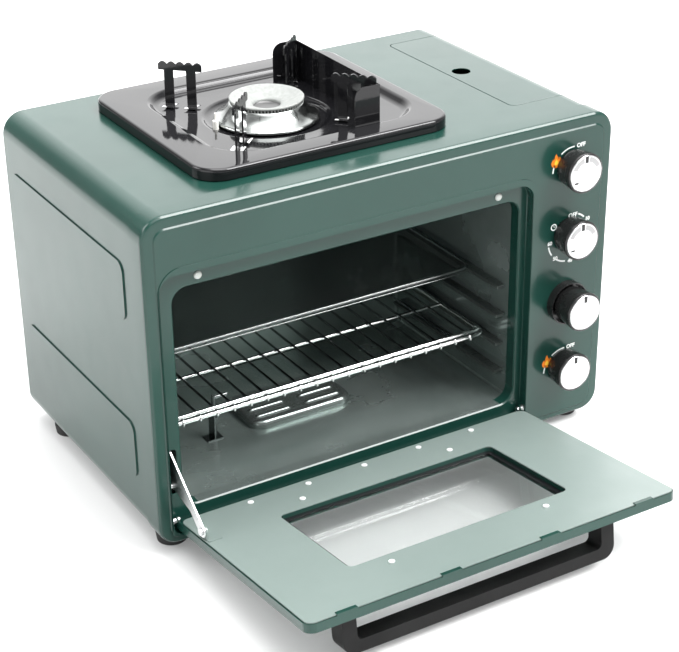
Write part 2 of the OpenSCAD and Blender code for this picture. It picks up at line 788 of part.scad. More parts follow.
module stay_rivet() color("silver") on_door() {
  rod_x(stay_y, stay_z, stay_pin_r, stay_x - 0.4, stay_x + stay_t + 1.9);
  rod_x(stay_y, stay_z, 3.4, stay_x - 1.8, stay_x - 0.3);
  rod_x(stay_y, stay_z, 3, stay_x + stay_t + 1.82, stay_x + stay_t + 2.8);
}

stay_profile = [
  [0, 5.4], [78, 5.4], [78, -20], [66, -20], [64, -14], [60, -14], [58, -20], [50, -20],
  [22, -5.4], [0, -5.4]
];

module stay_arm() color(bare_steel) placed()
  translate([0, stay_open_y, stay_open_z]) rotate([stay_angle, 0, 0]) difference() {
    union() {
      along_x(stay_x, stay_x + stay_t) polygon(stay_profile);
      rod_x(0, 0, 5.5, stay_x, stay_x + stay_t);
    }
    rod_x(0, 0, stay_pin_r + run_gap, stay_x - 1, stay_x + stay_t + 1);
  }

// A knob's body drawn along its own axis, from the panel outwards
module knob_body(z, base, length) {
  translate([knob_x, panel_y - base, z]) rotate([90, 0, 0]) difference() {
    rotate_extrude() polygon([
      [0, 0], [knob_r + 0.3, 0], [knob_r + 0.3, 2.4], [knob_r, 3], [knob_r, length - 1.4],
      [knob_r - 1, length], [0, length]
    ]);
    translate([0, 0, length - 0.8]) cylinder(r = knob_r - 2.2, h = 2);
    translate([0, 0, -1]) cylinder(r = spindle_r + 0.02, h = length - 4);
  }
}

module knob_disc(z, base, length) {
  translate([knob_x, panel_y - base - length + 0.78, z]) rotate([90, 0, 0]) difference() {
    cylinder(r = knob_r - 2.3, h = 1.6);
    block([-1, knob_r - 8, -1], [1, knob_r, 3]);
  }
}

knob_gap = 0.5;

module stove_knob() color(black) placed() knob_body(stove_knob_z, knob_gap, knob_len);

module stove_knob_face() color("silver") placed() knob_disc(stove_knob_z, knob_gap, knob_len);

module stove_spindle() color("silver") placed() rod_y(knob_x, stove_knob_z, spindle_r, -17, 21);

module timer_knob() color(black) placed() knob_body(timer_knob_z, knob_gap, knob_len);

module timer_knob_face() color("silver") placed() knob_disc(timer_knob_z, knob_gap, knob_len);

module timer_spindle() color("silver") placed() rod_y(knob_x, timer_knob_z, spindle_r, -17, 21);

module oven_knob() color(black) placed() knob_body(oven_knob_z, knob_gap, knob_len);

module oven_knob_face() color("silver") placed() knob_disc(oven_knob_z, knob_gap, knob_len);

module oven_spindle() color("silver") placed() rod_y(knob_x, oven_knob_z, spindle_r, -17, 21);

button_gap = button_travel + 1.6;
button_len = 24;

module safety_button() color(black) placed() knob_body(button_z, button_gap, button_len);

module button_face() color("silver") placed() knob_disc(button_z, button_gap, button_len);

module button_rod() color("silver") placed()
  rod_y(knob_x, button_z, spindle_r, panel_y - button_gap - 18, 24);

module gas_lid() color(paint) placed() difference() {
  inner = shell_inset + sheet;
  union() {
    intersection() {
      difference() {
        along_y(lid_front, lid_back) casing(shell_inset);
        along_y(lid_front - 1, lid_back + 1) casing(inner);
      }
      slab(lid_low, cabinet_top + 5) lid_region(0);
    }
    for (y = [lid_front + 1, lid_back - 2]) along_y(y, y + sheet) intersection() {
      difference() {
        casing(inner - eps);
        casing(inner + 10);
      }
      translate([lid_left + 6, lid_low]) square([80, 80]);
    }
    block([lid_left, lid_front + 6, shell_top - 9],
          [lid_left + sheet, lid_back - 6, shell_top - sheet + eps]);
  }
  rod_z(181.5, 162, 9, shell_top - 3, shell_top + 3);
  rod_y(lid_pin_x, lid_pin_z, lid_pin_r + run_gap, lid_front - 2, lid_back + 2);
}

module canister_lever() color("firebrick") placed() {
  lever_y = 52;
  lever_angle = 148;
  difference() {
    union() {
      rod_y(canister_x, canister_z, 21.5, lever_y, lever_y + 3);
      translate([canister_x, 0, canister_z]) rotate([0, -lever_angle, 0]) {
        block([18, lever_y, -4], [40, lever_y + 3, 4]);
        block([36.6, lever_y, -4], [39.6, 74, 4]);
      }
    }
    rod_y(canister_x, canister_z, collar_r + run_gap, lever_y - 1, lever_y + 4);
  }
}

module wire_rack() color("silver") placed() {
  cross_r = 1.25;
  cross_z = rack_z + 2.35;
  wire_loop(rack_low, rack_high, rack_z, 9, rack_wire_r);
  rod_x(rack_low.y + 1.2, rack_z + 5, rack_wire_r, rack_low.x + 10, rack_high.x - 10);
  rod_x(122, rack_z, 1.7, rack_low.x, rack_high.x);
  for (i = [0:18]) rod_y(-188.5 + 17 * i, cross_z, cross_r, rack_low.y, rack_high.y);
}

module baking_tray() color([0.2, 0.2, 0.2]) placed() {
  low = [-208, 72];
  high = [137, 207];
  in = [8, 8];
  difference() {
    union() {
      slab(tray_rim_z, tray_rim_z + sheet) rounded_rect(low, high, 14);
      slab(tray_rim_z - 3.6, tray_rim_z + sheet) rounded_rect(low + in, high - in, 10);
    }
    slab(tray_rim_z - 2.6, tray_rim_z + 3) rounded_rect(low + in + [1, 1], high - in - [1, 1], 9);
  }
  wire_loop(low + [1.2, 1.2], high - [1.2, 1.2], tray_rim_z + 1.5, 12.8, 1.2);
}

outer_shell();
base_plate();
back_panel();
front_frame();
oven_liner();
rack_rails();
burner_cover();
insulation();
divider_wall();
rubber_feet();
cabinet_screws();
door_bumpers();
stay_guide();
drip_tray();
pan_supports();
support_tabs();
wind_shield();
stove_burner_cup();
stove_burner_head();
stove_burner_cap();
stove_mixing_tube();
stove_igniter();
oven_burner();
flame_sensor();
gas_regulator();
gas_pipes();
stove_valve();
oven_valve();
timer_unit();
safety_valve();
button_guide();
canister_cradle();
lid_hinge_pin();
hinge_pins();
door_outer();
door_inner();
window_glass();
glass_retainer();
door_handle();
handle_screws();
door_screws();
stay_bracket();
stay_rivet();
stay_arm();
stove_knob();
stove_knob_face();
stove_spindle();
timer_knob();
timer_knob_face();
timer_spindle();
oven_knob();
oven_knob_face();
oven_spindle();
safety_button();
button_face();
button_rod();
gas_lid();
canister_lever();
wire_rack();
baking_tray();
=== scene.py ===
import json
import math
import bpy
from mathutils import Matrix, Vector


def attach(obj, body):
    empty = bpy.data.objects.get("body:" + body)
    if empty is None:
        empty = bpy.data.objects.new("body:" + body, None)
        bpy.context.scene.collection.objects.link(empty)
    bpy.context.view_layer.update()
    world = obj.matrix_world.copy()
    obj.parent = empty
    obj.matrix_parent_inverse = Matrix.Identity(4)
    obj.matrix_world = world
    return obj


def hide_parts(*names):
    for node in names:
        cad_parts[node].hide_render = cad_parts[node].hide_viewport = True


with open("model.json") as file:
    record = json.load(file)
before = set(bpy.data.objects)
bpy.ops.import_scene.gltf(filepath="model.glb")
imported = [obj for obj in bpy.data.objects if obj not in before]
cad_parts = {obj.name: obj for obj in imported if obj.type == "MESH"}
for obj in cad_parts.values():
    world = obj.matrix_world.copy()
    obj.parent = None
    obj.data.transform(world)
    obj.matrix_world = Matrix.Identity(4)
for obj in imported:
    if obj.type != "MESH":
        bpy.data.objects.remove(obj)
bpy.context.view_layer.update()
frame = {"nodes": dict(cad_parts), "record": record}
nodes = frame["nodes"]
bodyOf = {n: b for b, names in frame["record"]["behaviour"]["bodies"].items() for n in names}
slotOf = {s["node"]: s["material_slot"] for s in frame["record"]["subparts"]}
midY = 33.850  # the cabinet's front face is at y = -33.85 mm
print("frame loaded:", len(nodes), "nodes")


def at(x, y, z):  # millimetres from the front face's middle, to metres in the shared frame
    return Vector((x / 1000, (y - midY) / 1000, z / 1000))


cameraView = {"place": (-0.7755589, -1.2432020, 0.8943629), "azimuth": 30.6192,
              "down": 27.9143, "roll": -0.8385, "lens": 95.997,
              "shiftX": 0.00617, "shiftY": 0.04372}


def makeCamera(c):
    a, e, r = (math.radians(c[k]) for k in ("azimuth", "down", "roll"))
    forward = Vector((math.sin(a) * math.cos(e), math.cos(a) * math.cos(e), -math.sin(e)))
    right = Vector((math.cos(a), -math.sin(a), 0))
    up = right.cross(forward)
    camX = right * math.cos(r) + up * math.sin(r)
    camY = -right * math.sin(r) + up * math.cos(r)
    data = bpy.data.cameras.new("photoCamera")
    data.lens, data.sensor_width = c["lens"], 36
    data.shift_x, data.shift_y = c["shiftX"], c["shiftY"]
    cam = bpy.data.objects.new("photoCamera", data)
    turn = Matrix((camX, camY, -forward)).transposed().to_4x4()
    cam.matrix_world = Matrix.Translation(c["place"]) @ turn
    bpy.context.scene.collection.objects.link(cam)
    bpy.context.scene.camera = cam


makeCamera(cameraView)

# glows: direction, cosine where it starts, cosine where it is full, strength
# lamps: place, target, size in metres, watts
studio = {"base": 0.46, "floorSize": 9, "floorColour": (0.66, 0.66, 0.66, 1), "floorGlow": 0.17,
          "glows": [((0.42, 0.78, 0.46), 0.66, 0.99, 2.15),
                    ((0.1, -0.25, 1.0), 0.72, 0.98, 3.4),
                    ((-0.95, -0.3, 0.12), 0.8, 1.0, 1.8),
                    ((0.45, -0.47, 0.76), 0.958, 0.982, 20.0)],
          "lamps": {"overhead": ((0.15, 0.1, 2.3), (0.0, -0.1, 0.2), 1.3, 29),
                    "leftBack": ((-1.7, 1.2, 1.5), (-0.9, 0.5, 0.0), 1.2, 21),
                    "frontRight": ((1.5, -1.8, 1.2), (0.1, -0.1, 0.15), 0.8, 5)}}


def makeRoom(s):
    world = bpy.data.worlds.new("paleRoom")
    world.use_nodes = True
    tree = world.node_tree
    coord = tree.nodes.new("ShaderNodeTexCoord")
    total = None
    for direction, edge, middle, strength in s["glows"]:
        dot = tree.nodes.new("ShaderNodeVectorMath")
        dot.operation = "DOT_PRODUCT"
        dot.inputs[1].default_value = Vector(direction).normalized()
        tree.links.new(coord.outputs["Generated"], dot.inputs[0])
        ramp = tree.nodes.new("ShaderNodeMapRange")
        ramp.interpolation_type = "SMOOTHSTEP"
        for key, value in (("From Min", edge), ("From Max", middle),
                           ("To Min", 0), ("To Max", strength)):
            ramp.inputs[key].default_value = value
        tree.links.new(dot.outputs["Value"], ramp.inputs["Value"])
        add = tree.nodes.new("ShaderNodeMath")
        add.operation = "ADD"
        add.inputs[1].default_value = s["base"]
        if total:
            tree.links.new(total, add.inputs[1])
        tree.links.new(ramp.outputs["Result"], add.inputs[0])
        total = add.outputs["Value"]
    tree.links.new(total, tree.nodes["Background"].inputs["Strength"])
    tree.nodes["Background"].inputs["Color"].default_value = (1, 1, 1, 1)
    bpy.context.scene.world = world


def makeStudio(s):
    makeRoom(s)
    for name, (place, target, size, power) in s["lamps"].items():
        light = bpy.data.lights.new(name, "AREA")
        light.shape, light.size, light.energy = "SQUARE", size, power
        lamp = bpy.data.objects.new(name, light)
        lamp.location = place
        aim = Vector(target) - Vector(place)
        lamp.rotation_euler = aim.to_track_quat("-Z", "Y").to_euler()
        bpy.context.scene.collection.objects.link(lamp)
    bpy.ops.object.select_all(action="DESELECT")
    bpy.ops.mesh.primitive_plane_add(size=s["floorSize"], location=(0, 0, 0))
    floor = bpy.context.object
    floor.name = "studioFloor"
    mat = bpy.data.materials.new("paleFloor")
    mat.use_nodes = True
    shader = mat.node_tree.nodes["Principled BSDF"]
    shader.inputs["Base Color"].default_value = s["floorColour"]
    shader.inputs["Roughness"].default_value = 0.6
    shader.inputs["Emission Color"].default_value = (1, 1, 1, 1)
    shader.inputs["Emission Strength"].default_value = s["floorGlow"]
    floor.data.materials.append(mat)
    bpy.context.scene.view_settings.view_transform = "Standard"


makeStudio(studio)
print("camera, lights and floor made")


def nodesFor(name):
    mat = bpy.data.materials.new(name)
    mat.use_nodes = True
    tree = mat.node_tree
    shader = tree.nodes["Principled BSDF"]
    coord = tree.nodes.new("ShaderNodeTexCoord")
    return mat, tree, shader, coord


def noiseOf(tree, coord, scale, detail, stretch=None):
    tex = tree.nodes.new("ShaderNodeTexNoise")
    tex.inputs["Scale"].default_value = scale
    tex.inputs["Detail"].default_value = detail
    source = coord.outputs["Object"]
    if stretch:
        mapping = tree.nodes.new("ShaderNodeMapping")
        mapping.inputs["Scale"].default_value = stretch
        tree.links.new(source, mapping.inputs["Vector"])
        source = mapping.outputs["Vector"]
    tree.links.new(source, tex.inputs["Vector"])
    return tex.outputs["Fac"]


def between(tree, value, low, high):  # stretches the middle of a noise over a range
    node = tree.nodes.new("ShaderNodeMapRange")
    for key, number in (("From Min", 0.3), ("From Max", 0.7), ("To Min", low), ("To Max", high)):
        node.inputs[key].default_value = number
    tree.links.new(value, node.inputs["Value"])
    return node.outputs["Result"]


def colourFrom(tree, shader, value, deep, pale):
    node = tree.nodes.new("ShaderNodeMix")
    node.data_type = "RGBA"
    tree.links.new(between(tree, value, 0, 1), node.inputs["Factor"])
    node.inputs["A"].default_value = (*deep, 1)
    node.inputs["B"].default_value = (*pale, 1)
    tree.links.new(node.outputs["Result"], shader.inputs["Base Color"])


def glossFrom(tree, shader, value, rough):
    tree.links.new(between(tree, value, *rough), shader.inputs["Roughness"])


def bumpFrom(tree, shader, value, strength, distance):
    node = tree.nodes.new("ShaderNodeBump")
    node.inputs["Strength"].default_value = strength
    node.inputs["Distance"].default_value = distance
    tree.links.new(value, node.inputs["Height"])
    tree.links.new(node.outputs["Normal"], shader.inputs["Normal"])


# sprayed or baked enamel: soft cloudiness, orange peel, slightly uneven gloss
def paint(name, deep, pale, rough, clouds=7, relief=0.06, coat=0, coatRough=0.1, ior=1.5):
    mat, tree, shader, coord = nodesFor(name)
    colourFrom(tree, shader, noiseOf(tree, coord, clouds, 4), deep, pale)
    glossFrom(tree, shader, noiseOf(tree, coord, 34, 5), rough)
    bumpFrom(tree, shader, noiseOf(tree, coord, 700, 2), relief, 0.0003)
    shader.inputs["Coat Weight"].default_value = coat
    shader.inputs["Coat Roughness"].default_value = coatRough
    shader.inputs["IOR"].default_value = ior
    return mat


# rolled, drawn or cast metal: fine grain, along one direction where it is stretched
def metal(name, deep, pale, rough, scale=60, stretch=(1, 30, 30), relief=0.04, metallic=1):
    mat, tree, shader, coord = nodesFor(name)
    grain = noiseOf(tree, coord, scale, 6, stretch)
    colourFrom(tree, shader, grain, deep, pale)
    glossFrom(tree, shader, grain, rough)
    bumpFrom(tree, shader, grain, relief, 0.0002)
    shader.inputs["Metallic"].default_value = metallic
    return mat


# moulded plastic or rubber with a fine spark-eroded grain
def moulded(name, deep, pale, rough, grain=1800, relief=0.25, ior=1.45):
    mat, tree, shader, coord = nodesFor(name)
    colourFrom(tree, shader, noiseOf(tree, coord, 18, 4), deep, pale)
    glossFrom(tree, shader, noiseOf(tree, coord, 90, 4), rough)
    bumpFrom(tree, shader, noiseOf(tree, coord, grain, 3), relief, 0.0002)
    shader.inputs["IOR"].default_value = ior
    return mat


def windowPane(name):
    mat, tree, shader, coord = nodesFor(name)
    shader.inputs["Base Color"].default_value = (0.91, 0.935, 0.925, 1)
    shader.inputs["Transmission Weight"].default_value = 1
    shader.inputs["IOR"].default_value = 1.48
    glossFrom(tree, shader, noiseOf(tree, coord, 25, 3), (0.0, 0.03))
    return mat


evenGrain = (1, 1, 1)

# finish: how it is made, material name, darker colour, lighter colour, roughness, the rest
finishTable = {
    "green_paint": (paint, "greenEnamel", (0.0068, 0.036, 0.0275), (0.0098, 0.0455, 0.035),
                    (0.19, 0.26), {"coat": 0.16, "coatRough": 0.08, "ior": 1.41}),
    "inner_paint": (paint, "paleSatinPaint", (0.155, 0.195, 0.182), (0.178, 0.22, 0.206),
                    (0.34, 0.42), {"coat": 0.3, "coatRough": 0.25}),
    "black_enamel": (paint, "glossBlackEnamel", (0.006, 0.006, 0.007), (0.011, 0.011, 0.012),
                     (0.04, 0.08), {"coat": 0.1, "coatRough": 0.03, "ior": 1.42, "relief": 0.04}),
    "tray_enamel": (paint, "bakingEnamel", (0.012, 0.013, 0.013), (0.022, 0.023, 0.023),
                    (0.14, 0.22), {"coat": 0.4, "coatRough": 0.08}),
    "ceramic_white": (paint, "glazedCeramic", (0.75, 0.74, 0.7), (0.85, 0.84, 0.8),
                      (0.15, 0.25), {}),
    "lever_red": (paint, "redEnamel", (0.28, 0.012, 0.01), (0.34, 0.02, 0.016), (0.2, 0.3), {}),
    "discShade": (paint, "discShade", (0.3, 0.3, 0.3), (0.38, 0.38, 0.38), (0.35, 0.45), {}),
    "whiteInk": (paint, "whiteInk", (0.74, 0.78, 0.76), (0.85, 0.88, 0.86), (0.45, 0.55), {}),
    "orangeInk": (paint, "orangeInk", (0.62, 0.13, 0.01), (0.78, 0.24, 0.015), (0.4, 0.5),
                  {"clouds": 260}),
    "amberInk": (paint, "amberInk", (0.85, 0.42, 0.03), (0.92, 0.6, 0.06), (0.4, 0.5),
                 {"clouds": 260}),
    "liner_steel": (metal, "linerSteel", (0.21, 0.26, 0.245), (0.36, 0.42, 0.4), (0.16, 0.3),
                    {"stretch": (1, 1.6, 1.6), "scale": 9, "relief": 0.02, "metallic": 0.7}),
    "zinc_steel": (metal, "zincPlate", (0.7, 0.71, 0.71), (0.84, 0.85, 0.85), (0.26, 0.4), {}),
    "chrome_wire": (metal, "brightWire", (0.74, 0.74, 0.74), (0.86, 0.86, 0.86),
                    (0.06, 0.14), {}),
    "cast_alloy": (metal, "polishedAlloy", (0.78, 0.78, 0.77), (0.9, 0.9, 0.89), (0.12, 0.24),
                   {"stretch": evenGrain, "scale": 160}),
    "burner_black": (metal, "scorchedRing", (0.02, 0.02, 0.02), (0.05, 0.05, 0.05), (0.4, 0.55),
                     {"stretch": evenGrain, "metallic": 0.6}),
    "brass": (metal, "drawnBrass", (0.5, 0.34, 0.1), (0.7, 0.5, 0.2), (0.2, 0.35), {}),
    "knob_silver": (metal, "spunDisc", (0.8, 0.81, 0.82), (0.87, 0.87, 0.88), (0.3, 0.36),
                    {"stretch": evenGrain, "scale": 220, "metallic": 0.85, "relief": 0.008}),
    "skirtPolish": (metal, "skirtPolish", (0.38, 0.4, 0.39), (0.46, 0.48, 0.47), (0.12, 0.2),
                    {"stretch": evenGrain, "scale": 160}),
    "crownMatt": (metal, "crownMatt", (0.22, 0.23, 0.22), (0.29, 0.3, 0.29), (0.5, 0.6),
                  {"stretch": evenGrain, "scale": 260, "metallic": 0.1}),
    "hoodSteel": (metal, "hoodSteel", (0.19, 0.22, 0.21), (0.28, 0.31, 0.3), (0.16, 0.24),
                  {"metallic": 0.8}),
    "knobRing": (metal, "knobRing", (0.6, 0.6, 0.6), (0.72, 0.72, 0.72), (0.15, 0.22),
                 {"stretch": evenGrain}),
    "galvanised": (metal, "galvanised", (0.36, 0.38, 0.39), (0.5, 0.52, 0.53), (0.3, 0.5),
                   {"stretch": evenGrain, "scale": 120, "relief": 0.02}),
    # a whiter, less metallic copy of the zinc plate for the door screws: painted highlight, so
    # their heads show as bright specks
    "screwHighlightWhite": (metal, "screwHighlightWhite", (0.78, 0.79, 0.79), (0.9, 0.9, 0.9), (0.25, 0.35),
                   {"stretch": evenGrain, "metallic": 0.25}),
    # darker steel wire; on the rack's bars it is painted shade, a dark copy of the rack's bright
    # wire
    "darkWire": (metal, "darkWire", (0.16, 0.17, 0.17), (0.24, 0.25, 0.25), (0.16, 0.24), {}),
    # a lighter grey than the tray's enamel for its rim and edge wires: painted highlight along
    # the rim
    "trayRimHighlight": (metal, "trayRimHighlight", (0.2, 0.21, 0.21), (0.3, 0.31, 0.31), (0.14, 0.22), {}),
    # a darker copy of the lining's steel for the rack ribs: painted shade of the cavity's walls
    "shadedRailSteel": (metal, "shadedRailSteel", (0.09, 0.105, 0.1), (0.15, 0.17, 0.16), (0.25, 0.4),
                  {"metallic": 0.7}),
    # a dark grey disc for the floor of the crown's hole: painted shade in the hole
    "holeShadeGrey": (metal, "holeShadeGrey", (0.09, 0.09, 0.09), (0.14, 0.14, 0.14), (0.3, 0.45),
                 {"stretch": evenGrain, "metallic": 0.6}),
    "rubber": (moulded, "footRubber", (0.012, 0.012, 0.012), (0.02, 0.02, 0.02),
               (0.6, 0.75), {}),
    "bumper_grey": (moulded, "softGreyRubber", (0.5, 0.53, 0.5), (0.6, 0.63, 0.6),
                    (0.4, 0.5), {}),
    "handle_black": (moulded, "handleGrain", (0.008, 0.008, 0.008), (0.013, 0.013, 0.013),
                     (0.42, 0.52), {}),
    "gripGrain": (moulded, "gripGrain", (0.006, 0.006, 0.006), (0.011, 0.011, 0.011),
                  (0.42, 0.52), {"ior": 1.26}),
    "knob_black": (moulded, "knobPlastic", (0.012, 0.012, 0.012), (0.018, 0.018, 0.018),
                   (0.22, 0.3), {"relief": 0.1}),
    "mineral_wool": (moulded, "mineralWool", (0.5, 0.45, 0.25), (0.65, 0.6, 0.4), (0.8, 0.95),
                     {"grain": 300, "relief": 0.8}),
    "timer_body": (moulded, "ivoryPlastic", (0.6, 0.57, 0.48), (0.7, 0.67, 0.58),
                   (0.35, 0.45), {}),
}

# nodes whose finish isn't their slot's own
ownFinish = {"divider_wall": "galvanised", "canister_cradle": "galvanised",
             "flame_sensor": "darkWire", "stay_bracket": "inner_paint",
             # the door screws' whiter plating is painted highlight
             # the rack ribs' darker steel is painted shade
             "door_screws": "screwHighlightWhite", "door_handle": "gripGrain", "rack_rails": "shadedRailSteel"}

finishes = {key: make(name, deep, pale, rough, **rest)
            for key, (make, name, deep, pale, rough, rest) in finishTable.items()}
finishes["window"] = windowPane("windowGlass")


def dress(obj, key):
    obj.data.materials.clear()
    obj.data.materials.append(finishes[key])


for nodeName, obj in nodes.items():
    dress(obj, ownFinish.get(nodeName, slotOf[nodeName]))
print("materials made:", len(finishes))


def selectOnly(obj):
    if bpy.context.mode != "OBJECT":
        bpy.ops.object.mode_set(mode="OBJECT")
    bpy.ops.object.select_all(action="DESELECT")
    obj.hide_set(False)
    obj.select_set(True)
    bpy.context.view_layer.objects.active = obj


def begin(name, verb, **options):  # adds a primitive and leaves it in edit mode, all selected
    if bpy.context.mode != "OBJECT":
        bpy.ops.object.mode_set(mode="OBJECT")
    bpy.ops.object.select_all(action="DESELECT")
    verb(**options)
    obj = bpy.context.object
    obj.name = name
    bpy.ops.object.mode_set(mode="EDIT")
    bpy.ops.mesh.select_all(action="SELECT")
    return obj


def turnAll(axis, degrees):  # the operator turns the other way with no window
    bpy.ops.mesh.select_all(action="SELECT")
    bpy.ops.transform.rotate(value=-math.radians(degrees), orient_axis=axis,
                             center_override=(0, 0, 0))


def moveAll(place):
    bpy.ops.mesh.select_all(action="SELECT")
    bpy.ops.transform.translate(value=place)


def modify(obj, name, kind, **values):
    selectOnly(obj)
    mod = obj.modifiers.new(name, kind)
    for key, value in values.items():
        setattr(mod, key, value)
    bpy.ops.object.modifier_apply(modifier=name)


def smooth(obj, degrees=35, weighted=True):
    selectOnly(obj)
    bpy.ops.object.shade_smooth_by_angle(angle=math.radians(degrees))
    if weighted:
        modify(obj, "even", "WEIGHTED_NORMAL", keep_sharp=True, weight=60)


def joinAll(name, parts):
    selectOnly(parts[0])
    for part in parts:
        part.select_set(True)
    if len(parts) > 1:
        bpy.ops.object.join()
    parts[0].name = name
    return parts[0]


def finish(obj, body, slotName, *stands, material=None):
    dress(obj, material or slotName)
    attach(obj, body)
    if stands:
        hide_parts(*stands)
    print("made", obj.name, len(obj.data.polygons), "faces")
    return obj


def grown(low, high, g):
    return (low[0] - g, low[1] - g), (high[0] + g, high[1] + g)


def boxRing(level, box, g, upper, lower=None):  # a ring round a box of corner points, in mm
    low, high = grown(*box, g)
    return (level, low, high, upper + g, (upper if lower is None else lower) + g)


ringGap = 0.04  # metres between the rings while they are bridged


def ringForm(name, axis, rings, steps=8, cap=False):
    # each ring: level, low corner, high corner, upper radius, lower radius, in mm
    # the rings are stacked apart while they are bridged, then put back in their places
    parts = []
    spread = Vector([ringGap * (axis == letter) for letter in "xyz"])
    for index, (level, low, high, upper, lower) in enumerate(rings):
        wide, tall = (high[0] - low[0]) / 1000, (high[1] - low[1]) / 1000
        part = begin(name + "Ring", bpy.ops.mesh.primitive_plane_add, size=1)
        bpy.ops.transform.resize(value=(wide, tall, 1))
        for side, radius in ((1, upper), (-1, lower)):
            bpy.ops.mesh.select_all(action="DESELECT")
            bpy.ops.object.mode_set(mode="OBJECT")
            for vertex in part.data.vertices:  # the two corners at this side
                vertex.select = vertex.co.y * side > tall * 0.4995
            bpy.ops.object.mode_set(mode="EDIT")
            bpy.ops.mesh.bevel(offset=radius / 1000, segments=steps, affect="VERTICES")
        moveAll(((low[0] + high[0]) / 2000, (low[1] + high[1]) / 2000, 0))
        if axis == "y":
            turnAll("X", 90)
            moveAll((0, (level - midY) / 1000, 0))
        else:
            moveAll((0, -midY / 1000, level / 1000))
        moveAll(spread * index)
        part.vertex_groups.new(name="ring%02d" % index)
        bpy.ops.object.vertex_group_assign()
        if not (cap and index == len(rings) - 1):
            bpy.ops.mesh.delete(type="ONLY_FACE")
        bpy.ops.object.mode_set(mode="OBJECT")
        parts.append(part)
    form = joinAll(name, parts)
    bpy.ops.object.mode_set(mode="EDIT")
    for index in range(len(rings) - 1):
        bpy.ops.mesh.select_all(action="DESELECT")
        for one in (index, index + 1):
            form.vertex_groups.active_index = one
            bpy.ops.object.vertex_group_select()
        bpy.ops.mesh.bridge_edge_loops()
    for index in range(len(rings)):
        bpy.ops.mesh.select_all(action="DESELECT")
        form.vertex_groups.active_index = index
        bpy.ops.object.vertex_group_select()
        bpy.ops.transform.translate(value=-spread * index)
    bpy.ops.mesh.select_all(action="SELECT")
    bpy.ops.mesh.normals_make_consistent(inside=False)
    bpy.ops.object.mode_set(mode="OBJECT")
    form.vertex_groups.clear()
    return form


def trace(name, points):  # a run of edges in the x, z plane, in mm, left in edit mode
    obj = begin(name, bpy.ops.mesh.primitive_plane_add, size=0.001)
    bpy.ops.mesh.merge(type="CENTER")
    bpy.ops.transform.translate(value=(points[0][0] / 1000, 0, points[0][1] / 1000))
    for a, b in zip(points, points[1:]):
        step = ((b[0] - a[0]) / 1000, 0, (b[1] - a[1]) / 1000)
        bpy.ops.mesh.extrude_vertices_move(TRANSFORM_OT_translate={"value": step})
    bpy.ops.mesh.select_all(action="SELECT")
    return obj


mergeGap = 0.000002  # metres, for vertices of spun forms that meet
weldGap = 0.00001  # metres, for the vertices of the CAD meshes


def spinForm(name, points, steps=72, upright=True):  # points: radius, height along the axis
    obj = trace(name, points)
    bpy.ops.mesh.spin(steps=steps, angle=-2 * math.pi, center=(0, 0, 0), axis=(0, 0, 1))
    bpy.ops.mesh.select_all(action="SELECT")
    bpy.ops.mesh.remove_doubles(threshold=mergeGap)
    bpy.ops.mesh.normals_make_consistent(inside=False)
    if not upright:
        turnAll("X", 90)
    return obj


def around(steps):  # copies all of the mesh round the upright axis
    bpy.ops.mesh.select_all(action="SELECT")
    bpy.ops.mesh.spin(steps=steps, dupli=True, angle=2 * math.pi,
                      center=(0, 0, 0), axis=(0, 0, 1))
    bpy.ops.mesh.select_all(action="SELECT")
    bpy.ops.mesh.remove_doubles(threshold=mergeGap)


softened = {  # node: piece name, edge radius in mm, steps
    "outer_shell": ("shellPressing", 0.2, 1),
    "door_outer": ("doorSkin", 0.5, 2),
    "door_inner": ("doorLiningSheet", 0.3, 2),
    "gas_lid": ("bayCover", 0.2, 1),
    "rack_rails": ("rackRibs", 0.8, 2),
    "door_screws": ("doorScrewHeads", 0.5, 2),
    "cabinet_screws": ("cabinetScrewHeads", 0.4, 2),
    "door_bumpers": ("bumperPads", 0.4, 2),
    "wind_shield": ("flameShield", 0.3, 2),
    "door_handle": ("pullHandle", 2.6, 4),
    "stay_arm": ("doorStay", 0.3, 2),
    "glass_retainer": ("paneFrame", 0.3, 2),
}


def soften(node, name, radius, steps):
    piece = bpy.data.objects.new(name, nodes[node].data.copy())
    bpy.context.scene.collection.objects.link(piece)
    selectOnly(piece)
    bpy.ops.mesh.customdata_custom_splitnormals_clear()
    bpy.ops.object.mode_set(mode="EDIT")
    bpy.ops.mesh.select_all(action="SELECT")
    bpy.ops.mesh.remove_doubles(threshold=weldGap)
    if node != "outer_shell":  # its pierced walls shade badly as single faces
        bpy.ops.mesh.dissolve_limited(angle_limit=math.radians(1))
    bpy.ops.object.mode_set(mode="OBJECT")
    modify(piece, "edge", "BEVEL", width=radius / 1000, segments=steps, limit_method="ANGLE",
           angle_limit=math.radians(32), use_clamp_overlap=True, miter_outer="MITER_ARC")
    smooth(piece, 35)
    finish(piece, bodyOf[node], slotOf[node], node, material=ownFinish.get(node))


for nodeName, (pieceName, radius, steps) in softened.items():
    soften(nodeName, pieceName, radius, steps)

# boxes: low and high corner in x, z; corner radii: at the top, at the bottom
front = {"outline": ((-238.75, 10.3), (238.75, 320)), "corners": (22, 19), "edge": 4,
         "field": ((-227, 18.5), (227, 308)), "fieldCorner": 10,
         "bead": ((-226.9, 18.9), (157, 273)), "beadCorners": (22, 11),
         "recess": ((-226, 20), (150, 266)), "recessCorners": (15, 4),
         "mouth": ((-210, 40), (141.5, 248.8)), "mouthCorner": 14,
         "sheet": 1, "soft": 0.35, "staySlot": ((-223.8, 56), (-214.9, 100)), "slotCorner": 3}


